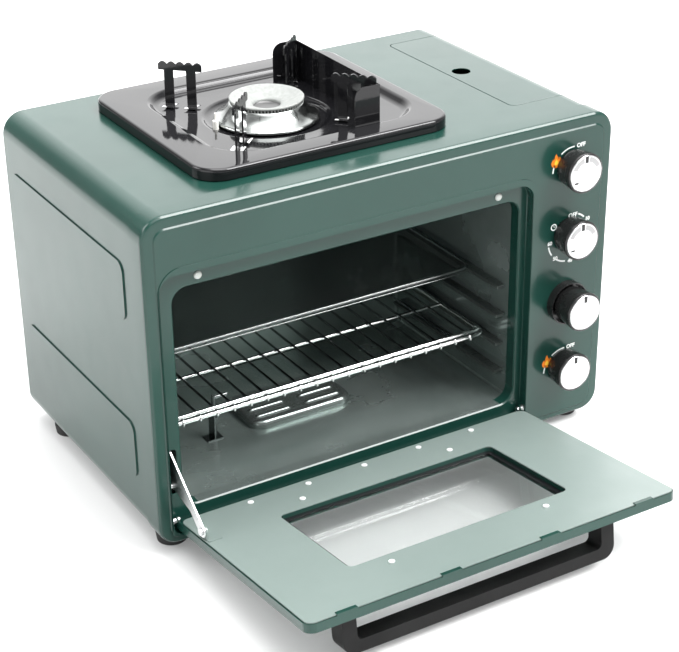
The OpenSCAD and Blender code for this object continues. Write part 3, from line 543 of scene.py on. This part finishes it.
def makeFront(f):
    outer, bead, recess = f["corners"], f["beadCorners"], f["recessCorners"]
    rings = [boxRing(level, f["outline"], g, *outer)
             for level, g in ((24.6, -1.1), (24.3, -0.4), (23.6, 0), (4, 0))]
    for degrees in (30, 60, 90):
        s, c = math.sin(math.radians(degrees)), math.cos(math.radians(degrees))
        rings.append(boxRing(f["edge"] * (1 - s), f["outline"], -f["edge"] * (1 - c), *outer))
    rings += [boxRing(0, f["field"], 1.3, f["fieldCorner"]),
              boxRing(-1, f["field"], 0, f["fieldCorner"]),
              boxRing(-1, f["bead"], 0, *bead), boxRing(-1.8, f["bead"], -0.2, *bead),
              boxRing(-1.8, f["recess"], 0.5, *recess), boxRing(-1, f["recess"], 0, *recess),
              boxRing(7.3, f["recess"], 0, *recess),
              boxRing(8, f["recess"], -0.7, recess[0], recess[1] + 0.8)]
    rings += [boxRing(level, f["mouth"], g, f["mouthCorner"])
              for level, g in ((8, 1.2), (9.2, 0), (20, 0))]
    press = ringForm("frontPressing", "y", rings, 10)
    modify(press, "round", "BEVEL", width=f["soft"] / 1000, segments=2, limit_method="ANGLE",
           angle_limit=math.radians(28), use_clamp_overlap=True)
    modify(press, "sheet", "SOLIDIFY", thickness=f["sheet"] / 1000,
           offset=1 if facesIn(press) else -1)
    slot = ringForm("staySlot", "y", [
        boxRing(level, f["staySlot"], 0, f["slotCorner"]) for level in (5, 12)], 5)
    closeAndCut(press, slot)
    smooth(press, 40)
    finish(press, "cabinet", "green_paint", "front_frame")


def facesIn(obj):  # true when the first outer wall looks to the middle
    wall = max(obj.data.polygons,
               key=lambda face: abs(face.center.x) if face.center.y > -0.02 else 0)
    return wall.normal.x * wall.center.x < 0


def closeAndCut(target, tool):
    selectOnly(tool)
    bpy.ops.object.mode_set(mode="EDIT")
    bpy.ops.mesh.select_all(action="SELECT")
    bpy.ops.mesh.fill_holes(sides=0)
    bpy.ops.mesh.select_all(action="SELECT")
    bpy.ops.mesh.normals_make_consistent(inside=False)
    bpy.ops.object.mode_set(mode="OBJECT")
    modify(target, "cut", "BOOLEAN", operation="DIFFERENCE", object=tool, solver="EXACT")
    bpy.data.objects.remove(tool)


makeFront(front)

# they stand where the photograph shows them, a little further out than the solids' feet
feet = {"places": ((-216, 25.5), (216, 25.5), (-216, 249), (216, 249)),
        "profile": [(0.02, 1.6), (6, 1.6), (7.5, 0.3), (9, 0.02), (12.6, 0.02), (13.4, 0.5),
                    (13.8, 3), (14.6, 9), (14.4, 9.9), (13.6, 10.25), (0.02, 10.25)]}


def makeFeet(f):
    parts = []
    for x, y in f["places"]:
        foot = spinForm("rubberFeet", f["profile"], 48)
        moveAll(at(x, y, 0))
        bpy.ops.object.mode_set(mode="OBJECT")
        parts.append(foot)
    foot = joinAll("rubberFeet", parts)
    smooth(foot, 40, False)
    finish(foot, "cabinet", "rubber", "rubber_feet")


makeFeet(feet)

# rim and slope: height, growth of the box; dish: height, radius
tray = {"pan": ((-159.5, 39), (92, 270)), "panCorner": 25,
        "rim": [(319.6, 0), (326.8, 0), (328.4, -0.35), (329.5, -1.3), (330, -2.9)],
        "well": ((-126, 64), (76, 242)), "wellCorner": 40,
        "slope": [(330, 3.2), (329.6, 1.4), (328.2, -0.6), (326, -2.4), (324.6, -4.6),
                  (324.05, -7.5)],
        "burner": (-40.5, 147),
        "dish": [(324, 60.5), (323.7, 58.4), (322.6, 56.8), (321.2, 55), (320.5, 51.5),
                 (320.4, 30)], "sheet": 0.9}


def makeTray(t):
    def disc(level, radius):  # a box with almost all of it rounded off
        x, y = t["burner"]
        box = (x - radius, y - radius), (x + radius, y + radius)
        return (level, *box, radius * 0.998, radius * 0.998)

    rings = [boxRing(level, t["pan"], g, t["panCorner"]) for level, g in t["rim"]]
    rings += [boxRing(level, t["well"], g, t["wellCorner"]) for level, g in t["slope"]]
    rings += [disc(level, radius) for level, radius in t["dish"]]
    pan = ringForm("enamelTray", "z", rings, 14)
    modify(pan, "sheet", "SOLIDIFY", thickness=t["sheet"] / 1000,
           offset=-1 if facesUp(pan) else 1)
    smooth(pan, 50)
    finish(pan, "cabinet", "black_enamel", "drip_tray")


def facesUp(obj):
    flat = max(obj.data.polygons, key=lambda face: face.area)
    return flat.normal.z > 0


makeTray(tray)

# profiles: radius, height
burner = {"x": -40.5, "y": 147, "teeth": 68,
          "skirt": [(20, 319.4), (44, 320.7), (47.6, 322.2), (48, 323.4), (47.4, 324.4),
                    (45.6, 325.2), (42.4, 326.9), (39.4, 329.3), (37, 332.2), (35.2, 335),
                    (34, 336.9), (33.2, 337.5), (31.4, 337.5), (30, 336.6), (28.6, 331)],
          "band": [(28, 337), (31.9, 337.4), (32.1, 337.6), (32.1, 339.4), (31, 339.5),
                   (28, 339.5)],
          "hole": [(0.02, 331.5), (9, 331.6), (12, 332), (12.6, 333.2)],
          "crown": [(12.4, 331.2), (12.3, 333.4), (12.6, 334.3), (13.4, 335.1), (16, 336),
                    (21, 337.8), (26, 339.6), (30, 340.9), (32, 341.6), (33.2, 341.8),
                    (33.9, 341.3), (34, 340.4), (33.6, 339.6), (32.6, 339.4), (29.4, 339.4)],
          "tooth": (1.2, 1.35, 2.05), "toothPlace": (32.65, 337.45), "toothEdge": 0.15}


def makeBurner(b):
    for name, key, slotName, node, material in (
            ("burnerSkirt", "skirt", "cast_alloy", "stove_burner_cup", "skirtPolish"),
            ("portBand", "band", "burner_black", "stove_burner_head", None),
            ("burnerCrown", "crown", "cast_alloy", "stove_burner_cap", "crownMatt"),
            # the hole's dark grey floor is painted shade
            ("crownHole", "hole", "cast_alloy", None, "holeShadeGrey")):
        part = spinForm(name, b[key], 96)
        moveAll(at(b["x"], b["y"], 0))
        smooth(part, 60, False)
        finish(part, "cabinet", slotName, *([node] if node else []), material=material)
    wide, deep, tall = (size / 1000 for size in b["tooth"])
    radius, height = (size / 1000 for size in b["toothPlace"])
    tooth = begin("portTeeth", bpy.ops.mesh.primitive_plane_add, size=1)
    bpy.ops.transform.resize(value=(wide, deep, 1))
    moveAll((radius, 0, height))
    bpy.ops.mesh.extrude_region_move(TRANSFORM_OT_translate={"value": (0, 0, tall)})
    bpy.ops.mesh.select_all(action="SELECT")
    bpy.ops.mesh.bevel(offset=b["toothEdge"] / 1000, segments=1, affect="EDGES")
    bpy.ops.mesh.select_all(action="SELECT")
    bpy.ops.mesh.normals_make_consistent(inside=False)
    around(b["teeth"])
    moveAll(at(b["x"], b["y"], 0))
    smooth(tooth, 30, False)
    finish(tooth, "cabinet", "cast_alloy", material="crownMatt")


makeBurner(burner)

# four combs at 45 degrees round the burner; clips: width, length, waist, rise, sheet
combs = {"x": -40.5, "y": 147, "count": 4, "inner": 60, "outer": 101, "low": 359.8,
         "top": 368, "wave": 2.9, "humps": 5, "legs": (66, 87), "leg": 8.7, "foot": 324.02,
         "sheet": 1.6, "soft": 0.35, "clip": (12.5, 11.2, 0.62, 1.6, 0.5), "clipLevel": 324}


def makeCombs(c):
    def placeAll(piece, kept):
        around(c["count"])
        turnAll("Z", 45)
        moveAll(at(c["x"], c["y"], 0))
        smooth(piece, *kept)

    wide, tall = (c["outer"] - c["inner"]) / 1000, (c["top"] - c["low"]) / 1000
    comb = begin("panCombs", bpy.ops.mesh.primitive_grid_add, size=1,
                 x_subdivisions=80, y_subdivisions=3)
    bpy.ops.transform.resize(value=(wide, tall, 1))
    turnAll("X", 90)
    moveAll(((c["inner"] + c["outer"]) / 2000, 0, (c["low"] + c["top"]) / 2000))
    bpy.ops.object.mode_set(mode="OBJECT")
    for vertex in comb.data.vertices:
        if vertex.co.z * 1000 > c["top"] - 0.1:
            share = (vertex.co.x * 1000 - c["inner"]) / (c["outer"] - c["inner"])
            along = share * c["humps"] * math.pi
            vertex.co.z -= c["wave"] / 1000 * (1 - abs(math.sin(along)) ** 0.8)
    parts = [comb]
    for start in c["legs"]:
        leg = begin("leg", bpy.ops.mesh.primitive_grid_add, size=1,
                    x_subdivisions=4, y_subdivisions=6)
        bpy.ops.transform.resize(value=(c["leg"] / 1000, (c["low"] - c["foot"]) / 1000, 1))
        turnAll("X", 90)
        moveAll(((start + c["leg"] / 2) / 1000, 0, (c["low"] + c["foot"]) / 2000))
        bpy.ops.object.mode_set(mode="OBJECT")
        parts.append(leg)
    comb = joinAll("panCombs", parts)
    modify(comb, "sheet", "SOLIDIFY", thickness=c["sheet"] / 1000, offset=0)
    modify(comb, "round", "BEVEL", width=c["soft"] / 1000, segments=2, limit_method="ANGLE",
           angle_limit=math.radians(50))
    bpy.ops.object.mode_set(mode="EDIT")
    placeAll(comb, (40, True))
    finish(comb, "cabinet", "black_enamel", "pan_supports")

    width, length, waist, rise, sheet = c["clip"]
    clip = begin("footClips", bpy.ops.mesh.primitive_grid_add, size=1,
                 x_subdivisions=8, y_subdivisions=12)
    bpy.ops.transform.resize(value=(width / 1000, length / 1000, 1))
    bpy.ops.object.mode_set(mode="OBJECT")
    for vertex in clip.data.vertices:
        out = abs(vertex.co.y) / (length / 2000)
        vertex.co.x *= waist + (1 - waist) * out
        vertex.co.z = rise / 1000 * math.sin(out * math.pi * 0.72) + sheet / 1000
    modify(clip, "sheet", "SOLIDIFY", thickness=sheet / 1000, offset=1)
    bpy.ops.object.mode_set(mode="EDIT")
    moveAll(((c["legs"][0] + c["leg"] / 2) / 1000, 0, c["clipLevel"] / 1000))
    step = ((c["legs"][1] - c["legs"][0]) / 1000, 0, 0)
    bpy.ops.mesh.duplicate_move(TRANSFORM_OT_translate={"value": step})
    placeAll(clip, (50, False))
    finish(clip, "cabinet", "chrome_wire", "support_tabs")


makeCombs(combs)

# rim: height, growth; a louvre's rings: height, low corner, high corner, radius
hood = {"box": ((-97, 88), (13, 150)), "corner": 14,
        "rim": [(40.2, 0), (43.6, 0), (45.4, -0.5), (47, -1.7), (48.1, -3.4), (48.5, -5.4),
                (48.3, -7.6), (48.2, -9)],
        "louvres": [(-90, 96), (-36.5, 96), (-90, 110), (-36.5, 110)],
        "louvre": [(48.1, (0, 0), (39, 8), 3.2), (49, (0.4, 0.3), (38.6, 7.6), 3),
                   (50.1, (1.4, 1), (37.6, 6.6), 2.6), (50.5, (2.6, 2), (36.4, 5.6), 1.7)]}


def makeHood(h):
    parts = [ringForm("burnerHood", "z", [
        boxRing(level, h["box"], g, h["corner"]) for level, g in h["rim"]], 8, cap=True)]
    for x, y in h["louvres"]:
        parts.append(ringForm("louvre", "z", [
            (level, (x + low[0], y + low[1]), (x + high[0], y + high[1]), radius, radius)
            for level, low, high, radius in h["louvre"]], 6, cap=True))
    cover = joinAll("burnerHood", parts)
    smooth(cover, 50)
    finish(cover, "cabinet", "liner_steel", "burner_cover", material="hoodSteel")


makeHood(hood)

# profiles: radius, depth in front of the panel; shade: inner and outer radius, depth, sheet
# mark: width, height, rise, depth; dash: width, height, place to the right, rise, depth
knobs = {"x": 192, "turning": {"stove": 273.5, "timer": 207, "oven": 69.7}, "button": 137.8,
         "gap": 0.5, "length": 20.6, "buttonGap": 6.6, "buttonLength": 24,
         "body": [(3.2, 0), (16.4, 0), (17, 0.5), (17.5, 4), (18.1, 9), (18.7, 14),
                  (19.1, 18), (19.2, 19.3), (18.9, 20.2), (18.2, 20.6), (17.7, 20.55),
                  (17.4, 20.2), (17.2, 19.8), (3.2, 19.75)],
         "ring": [(17.0, 20.1), (17.5, 20.75), (17.2, 21.05), (16.8, 20.9), (16.8, 20.1)],
         "disc": [(0.02, 21.25), (14, 21.3), (16, 21.25), (16.6, 21.0), (16.8, 20.5),
                  (16.8, 19.85)],
         "mark": (3.6, 6.4, 13.6, 0.86), "dash": (4.6, 1.9, -10.6, -7.4, 0.8), "markSheet": 0.7,
         "shade": (11.2, 15.8, 0.74, 0.25), "shadeArcs": ((22, 78), (102, 158))}


def flatBlock(name, width, height, depth, x, z, face):  # a small rounded plate facing front
    low, high = (x - width / 2, z - height / 2), (x + width / 2, z + height / 2)
    return ringForm(name, "y", [(face + depth, low, high, 0.5, 0.5),
                                (face + 0.1, low, high, 0.5, 0.5),
                                (face, *grown(low, high, -0.1), 0.45, 0.45)], 3, cap=True)


def arcStrip(name, inner, outer, start, end, x, z, y):  # degrees from the right, upwards
    a = math.radians(start)
    strip = begin(name, bpy.ops.mesh.primitive_plane_add, size=0.001)
    bpy.ops.mesh.merge(type="CENTER")
    bpy.ops.transform.translate(value=(inner / 1000 * math.cos(a), inner / 1000 * math.sin(a), 0))
    step = ((outer - inner) / 1000 * math.cos(a), (outer - inner) / 1000 * math.sin(a), 0)
    bpy.ops.mesh.extrude_vertices_move(TRANSFORM_OT_translate={"value": step})
    bpy.ops.mesh.select_all(action="SELECT")
    bpy.ops.mesh.spin(steps=max(3, int(abs(end - start) / 5)), angle=-math.radians(end - start),
                      center=(0, 0, 0), axis=(0, 0, 1))
    bpy.ops.mesh.select_all(action="SELECT")
    bpy.ops.mesh.remove_doubles(threshold=mergeGap)
    turnAll("X", 90)
    moveAll(at(x, y, z))
    bpy.ops.object.mode_set(mode="OBJECT")
    return strip


def makeKnob(k, name, z, gap, length, body, bodyNode, faceNode, marked):
    face = -1 - gap - length
    for piece, key, slotName, node in ((name + "Body", "body", "knob_black", bodyNode),
                                       (name + "Ring", "ring", "knob_silver", None),
                                       (name + "Disc", "disc", "knob_silver", faceNode)):
        points = [(r, d if d < 1 else d + length - k["length"]) for r, d in k[key]]
        part = spinForm(piece, points, 72, upright=False)
        moveAll(at(k["x"], -1 - gap, z))
        smooth(part, 45, False)
        finish(part, body, slotName, *([node] if node else []),
               material="knobRing" if key == "ring" else None)
    width, height, rise, depth = k["mark"]
    sheet = k["markSheet"]
    marks = [flatBlock(name + "Mark", width, height, sheet, k["x"], z + rise, face - depth)]
    if marked:
        width, height, right, rise, depth = k["dash"]
        marks.append(flatBlock(name + "Dash", width, height, sheet, k["x"] + right, z + rise,
                               face - depth))
    mark = joinAll(name + "Mark", marks)
    smooth(mark, 40, False)
    finish(mark, body, "knob_black")
    if marked:
        inner, outer, depth, sheet = k["shade"]
        shade = joinAll(name + "Shade", [
            arcStrip(name + "Shade", inner, outer, a, b, k["x"], z, face - depth)
            for a, b in k["shadeArcs"]])
        modify(shade, "sheet", "SOLIDIFY", thickness=sheet / 1000, offset=0)
        smooth(shade, 40, False)
        finish(shade, body, "knob_silver", material="discShade")


for knobName, knobZ in knobs["turning"].items():
    makeKnob(knobs, knobName + "Knob", knobZ, knobs["gap"], knobs["length"],
             knobName + "_control", knobName + "_knob", knobName + "_knob_face",
             knobName != "oven")
makeKnob(knobs, "pushButton", knobs["button"], knobs["buttonGap"], knobs["buttonLength"],
         "safety_control", "safety_button", "button_face", False)

# arcs: width, from, to; places in x, z; generic numbers only
dial = {"ink": -1.06, "knobs": ((193.5, 270), (193.5, 64.5)), "radius": 21.8,
        "knobArcs": ((1.4, 88, 128), (1.6, 158, 178)), "off": (8.2, 22.4), "offSize": 5.6,
        "timer": (193, 202.8), "timerRadius": 22.9, "timerArc": 1.5,
        "timerArcs": ((46, 66), (4, 26), (-38, -16), (-78, -52), (-124, -98), (-168, -144)),
        "numbers": {"OFF": (196.4, 224.3), "10": (213.6, 217), "20": (219.8, 199.5),
                    "30": (213.4, 185.4), "40": (195.6, 178.4), "50": (178.2, 184.6),
                    "60": (171.2, 201.2)}, "timerOffSize": 5.8, "numberSize": 5.2,
        "clock": (174.9, 217), "clockRing": (2.3, 3.4),
        "flames": ((174.4, 282.6), (174.3, 77.6)), "flameSizes": (13.5, 10.5),
        "outerFlame": [(0, -0.5), (-0.22, -0.47), (-0.38, -0.33), (-0.44, -0.13), (-0.36, 0.05),
                       (-0.27, 0.15), (-0.25, 0.02), (-0.16, 0.2), (-0.12, 0.36), (-0.02, 0.5),
                       (0.04, 0.34), (0.14, 0.2), (0.2, 0.08), (0.26, 0.26), (0.38, 0.06),
                       (0.42, -0.14), (0.36, -0.34), (0.2, -0.47)],
        "innerFlame": [(0, -0.4), (-0.14, -0.36), (-0.22, -0.24), (-0.18, -0.08),
                       (-0.08, 0.02), (-0.02, 0.2), (0.06, 0.04), (0.16, -0.06),
                       (0.22, -0.22), (0.14, -0.36)]}


def label(words, size, x, z, y):
    bpy.ops.object.select_all(action="DESELECT")
    bpy.ops.object.text_add(location=(0, 0, 0))
    text = bpy.context.object
    text.data.body, text.data.size = words, size / 1000
    text.data.align_x, text.data.align_y = "CENTER", "CENTER"
    text.data.offset = 0.00022
    text.data.resolution_u = 3
    bpy.ops.object.convert(target="MESH")
    bpy.ops.object.mode_set(mode="EDIT")
    turnAll("X", 90)
    moveAll(at(x, y, z))
    bpy.ops.object.mode_set(mode="OBJECT")
    return text


def flame(name, x, z, size, y, points):
    shape = trace(name, [(px * size, pz * size) for px, pz in points])
    bpy.ops.mesh.edge_face_add()
    moveAll(at(x, y, z))
    bpy.ops.object.mode_set(mode="OBJECT")
    return shape


def makeDial(d):
    ink, level = [], d["ink"]
    for x, z in d["knobs"]:
        ink += [arcStrip("arc", d["radius"], d["radius"] + width, a, b, x, z, level)
                for width, a, b in d["knobArcs"]]
        ink.append(label("OFF", d["offSize"], x + d["off"][0], z + d["off"][1], level))
    radius = d["timerRadius"]
    for a, b in d["timerArcs"]:
        ink.append(arcStrip("arc", radius, radius + d["timerArc"], a, b, *d["timer"], level))
    for words, (x, z) in d["numbers"].items():
        size = d["timerOffSize" if words == "OFF" else "numberSize"]
        ink.append(label(words, size, x, z, level))
    x, z = d["clock"]
    ink += [arcStrip("clock", *d["clockRing"], 0, 360, x, z, level),
            flatBlock("hand", 0.7, 2.2, 0.05, x, z + 0.9, level),
            flatBlock("hand", 1.8, 0.7, 0.05, x + 0.8, z, level)]
    finish(joinAll("dialPrint", ink), "cabinet", "knob_silver", material="whiteInk")
    outerSize, innerSize = d["flameSizes"]
    for name, key, size, y, material in (
            ("flameOuter", "outerFlame", outerSize, level, "orangeInk"),
            ("flameInner", "innerFlame", innerSize, level - 0.03, "amberInk")):
        both = [flame(name, x, z, size, y, d[key]) for x, z in d["flames"]]
        finish(joinAll(name, both), "cabinet", "knob_silver", material=material)


makeDial(dial)


def wire(name, points, radius, closed=False):  # a bent wire through points in mm
    curve = bpy.data.curves.new(name, "CURVE")
    curve.dimensions, curve.bevel_depth, curve.bevel_resolution = "3D", radius / 1000, 3
    curve.use_fill_caps = True
    line = curve.splines.new("POLY")
    line.points.add(len(points) - 1)
    for point, place in zip(line.points, points):
        point.co = (*at(*place), 1)
    line.use_cyclic_u = closed
    obj = bpy.data.objects.new(name, curve)
    bpy.context.scene.collection.objects.link(obj)
    selectOnly(obj)
    bpy.ops.object.convert(target="MESH")
    return bpy.context.object


def loopPoints(low, high, z, bend, steps=8):
    points = []
    for cx, cy, start in ((high[0] - bend, high[1] - bend, 0),
                          (low[0] + bend, high[1] - bend, 90),
                          (low[0] + bend, low[1] + bend, 180),
                          (high[0] - bend, low[1] + bend, 270)):
        for i in range(steps + 1):
            a = math.radians(start + 90 * i / steps)
            points.append((cx + bend * math.cos(a), cy + bend * math.sin(a), z))
    return points


# railEnd: how far in, how far back and how high the front rail's bent end runs
rack = {"low": (-206, 48), "high": (135, 203), "z": 98, "bend": 9, "pitch": 17,
        "first": -188.5, "count": 19, "middle": 122,
        "railEnd": ((2, 14, 1), (2.4, 6, 3.6), (5, 2.4, 4.8), (12, 1.2, 5)),
        "radii": {"frame": 2, "rail": 1.9, "middle": 1.7, "bar": 1.2, "tip": 1.25}}


def makeRack(r):
    low, high, z, radii = r["low"], r["high"], r["z"], r["radii"]
    left = [(low[0] + x, low[1] + y, z + up) for x, y, up in r["railEnd"]]
    right = [(high[0] - x, low[1] + y, z + up) for x, y, up in reversed(r["railEnd"])]
    middle = [(low[0] + 0.5, r["middle"], z), (high[0] - 0.5, r["middle"], z)]
    rails = joinAll("rackFrame", [
        wire("rackFrame", loopPoints(low, high, z, r["bend"]), radii["frame"], True),
        wire("rail", left + right, radii["rail"]), wire("rail", middle, radii["middle"])])
    smooth(rails, 60, False)
    finish(rails, "rack", "chrome_wire", "wire_rack")
    bars, tips = [], []
    for i in range(r["count"]):
        x = r["first"] + r["pitch"] * i
        bars.append(wire("bar", [(x, high[1] + 0.4, z + 1), (x, high[1] - 2, z + 2.4),
                                 (x, low[1] + 3.4, z + 2.4), (x, low[1] - 0.6, z + 2)],
                         radii["bar"]))
        tips.append(wire("tip", [(x, low[1] - 0.6, z + 2), (x, low[1] - 2, z + 1.2),
                                 (x, low[1] - 2.4, z - 0.2), (x, low[1] - 2.2, z - 1.8)],
                         radii["tip"]))
    # the bars get darker wire than the frame and tips: painted shade
    for name, parts, material in (("rackBars", bars, "darkWire"),
                                  ("rackTips", tips, "chrome_wire")):
        piece = joinAll(name, parts)
        smooth(piece, 60, False)
        finish(piece, "rack", "chrome_wire", material=material)


makeRack(rack)

# lip and floor: height above the rim or the bottom, growth, radius
bakingPan = {"box": ((-208, 72), (137, 207)), "rim": 156, "bottom": 152.6, "sheet": 0.9,
             "lip": [(0.7, -0.3, 14), (0.9, -1.5, 14), (0.9, -6.4, 14), (0.2, -8, 14)],
             "floor": [(1, -9, 14), (0.2, -10.4, 14), (0, -13.5, 15), (0, -16, 18)],
             "rimWire": 1.35, "rimBend": 12.8, "edgeWire": 0.7}


def makePan(b):
    top = b["rim"]
    rings = [boxRing(top + up, b["box"], g, radius) for up, g, radius in b["lip"]]
    rings += [boxRing(b["bottom"] + up, b["box"], g, radius) for up, g, radius in b["floor"]]
    pan = ringForm("bakingSheet", "z", rings, 8, cap=True)
    modify(pan, "sheet", "SOLIDIFY", thickness=b["sheet"] / 1000,
           offset=-1 if facesUp(pan) else 1)
    smooth(pan, 50)
    finish(pan, "tray", "tray_enamel", "baking_tray")
    low, high = grown(*b["box"], -1.2)
    loop = loopPoints(low, high, top + 1.5, b["rimBend"])
    edge = [(low[0] + 14, low[1] + 0.2, top - 2.6), (high[0] - 14, low[1] + 0.2, top - 2.6)]
    rim = joinAll("sheetRim", [wire("sheetRim", loop, b["rimWire"], True),
                               wire("edge", edge, b["edgeWire"])])
    smooth(rim, 60, False)
    # the rim and edge wires get a lighter grey than the pan's enamel: painted highlight
    finish(rim, "tray", "tray_enamel", material="trayRimHighlight")


makePan(bakingPan)

# walls: depths; back: depth from the back wall, growth, radius
cavity = {"box": ((-212.6, 40), (143, 258.4)), "walls": (9.4, 60, 110, 160, 213.5),
          "wallCorner": 2, "back": 216,
          "plate": [(-0.7, -0.7, 2), (0, -2.5, 2), (0, -30, 6), (-1.4, -33, 6), (-1.4, -60, 6)]}


def makeLining(c):
    rings = [(level, *c["box"], c["wallCorner"], c["wallCorner"]) for level in c["walls"]]
    rings += [(c["back"] + depth, *grown(*c["box"], g), radius, radius)
              for depth, g, radius in c["plate"]]
    lining = ringForm("ovenLining", "y", rings, 4, cap=True)
    smooth(lining, 50)
    finish(lining, "cabinet", "liner_steel", "oven_liner")


makeLining(cavity)
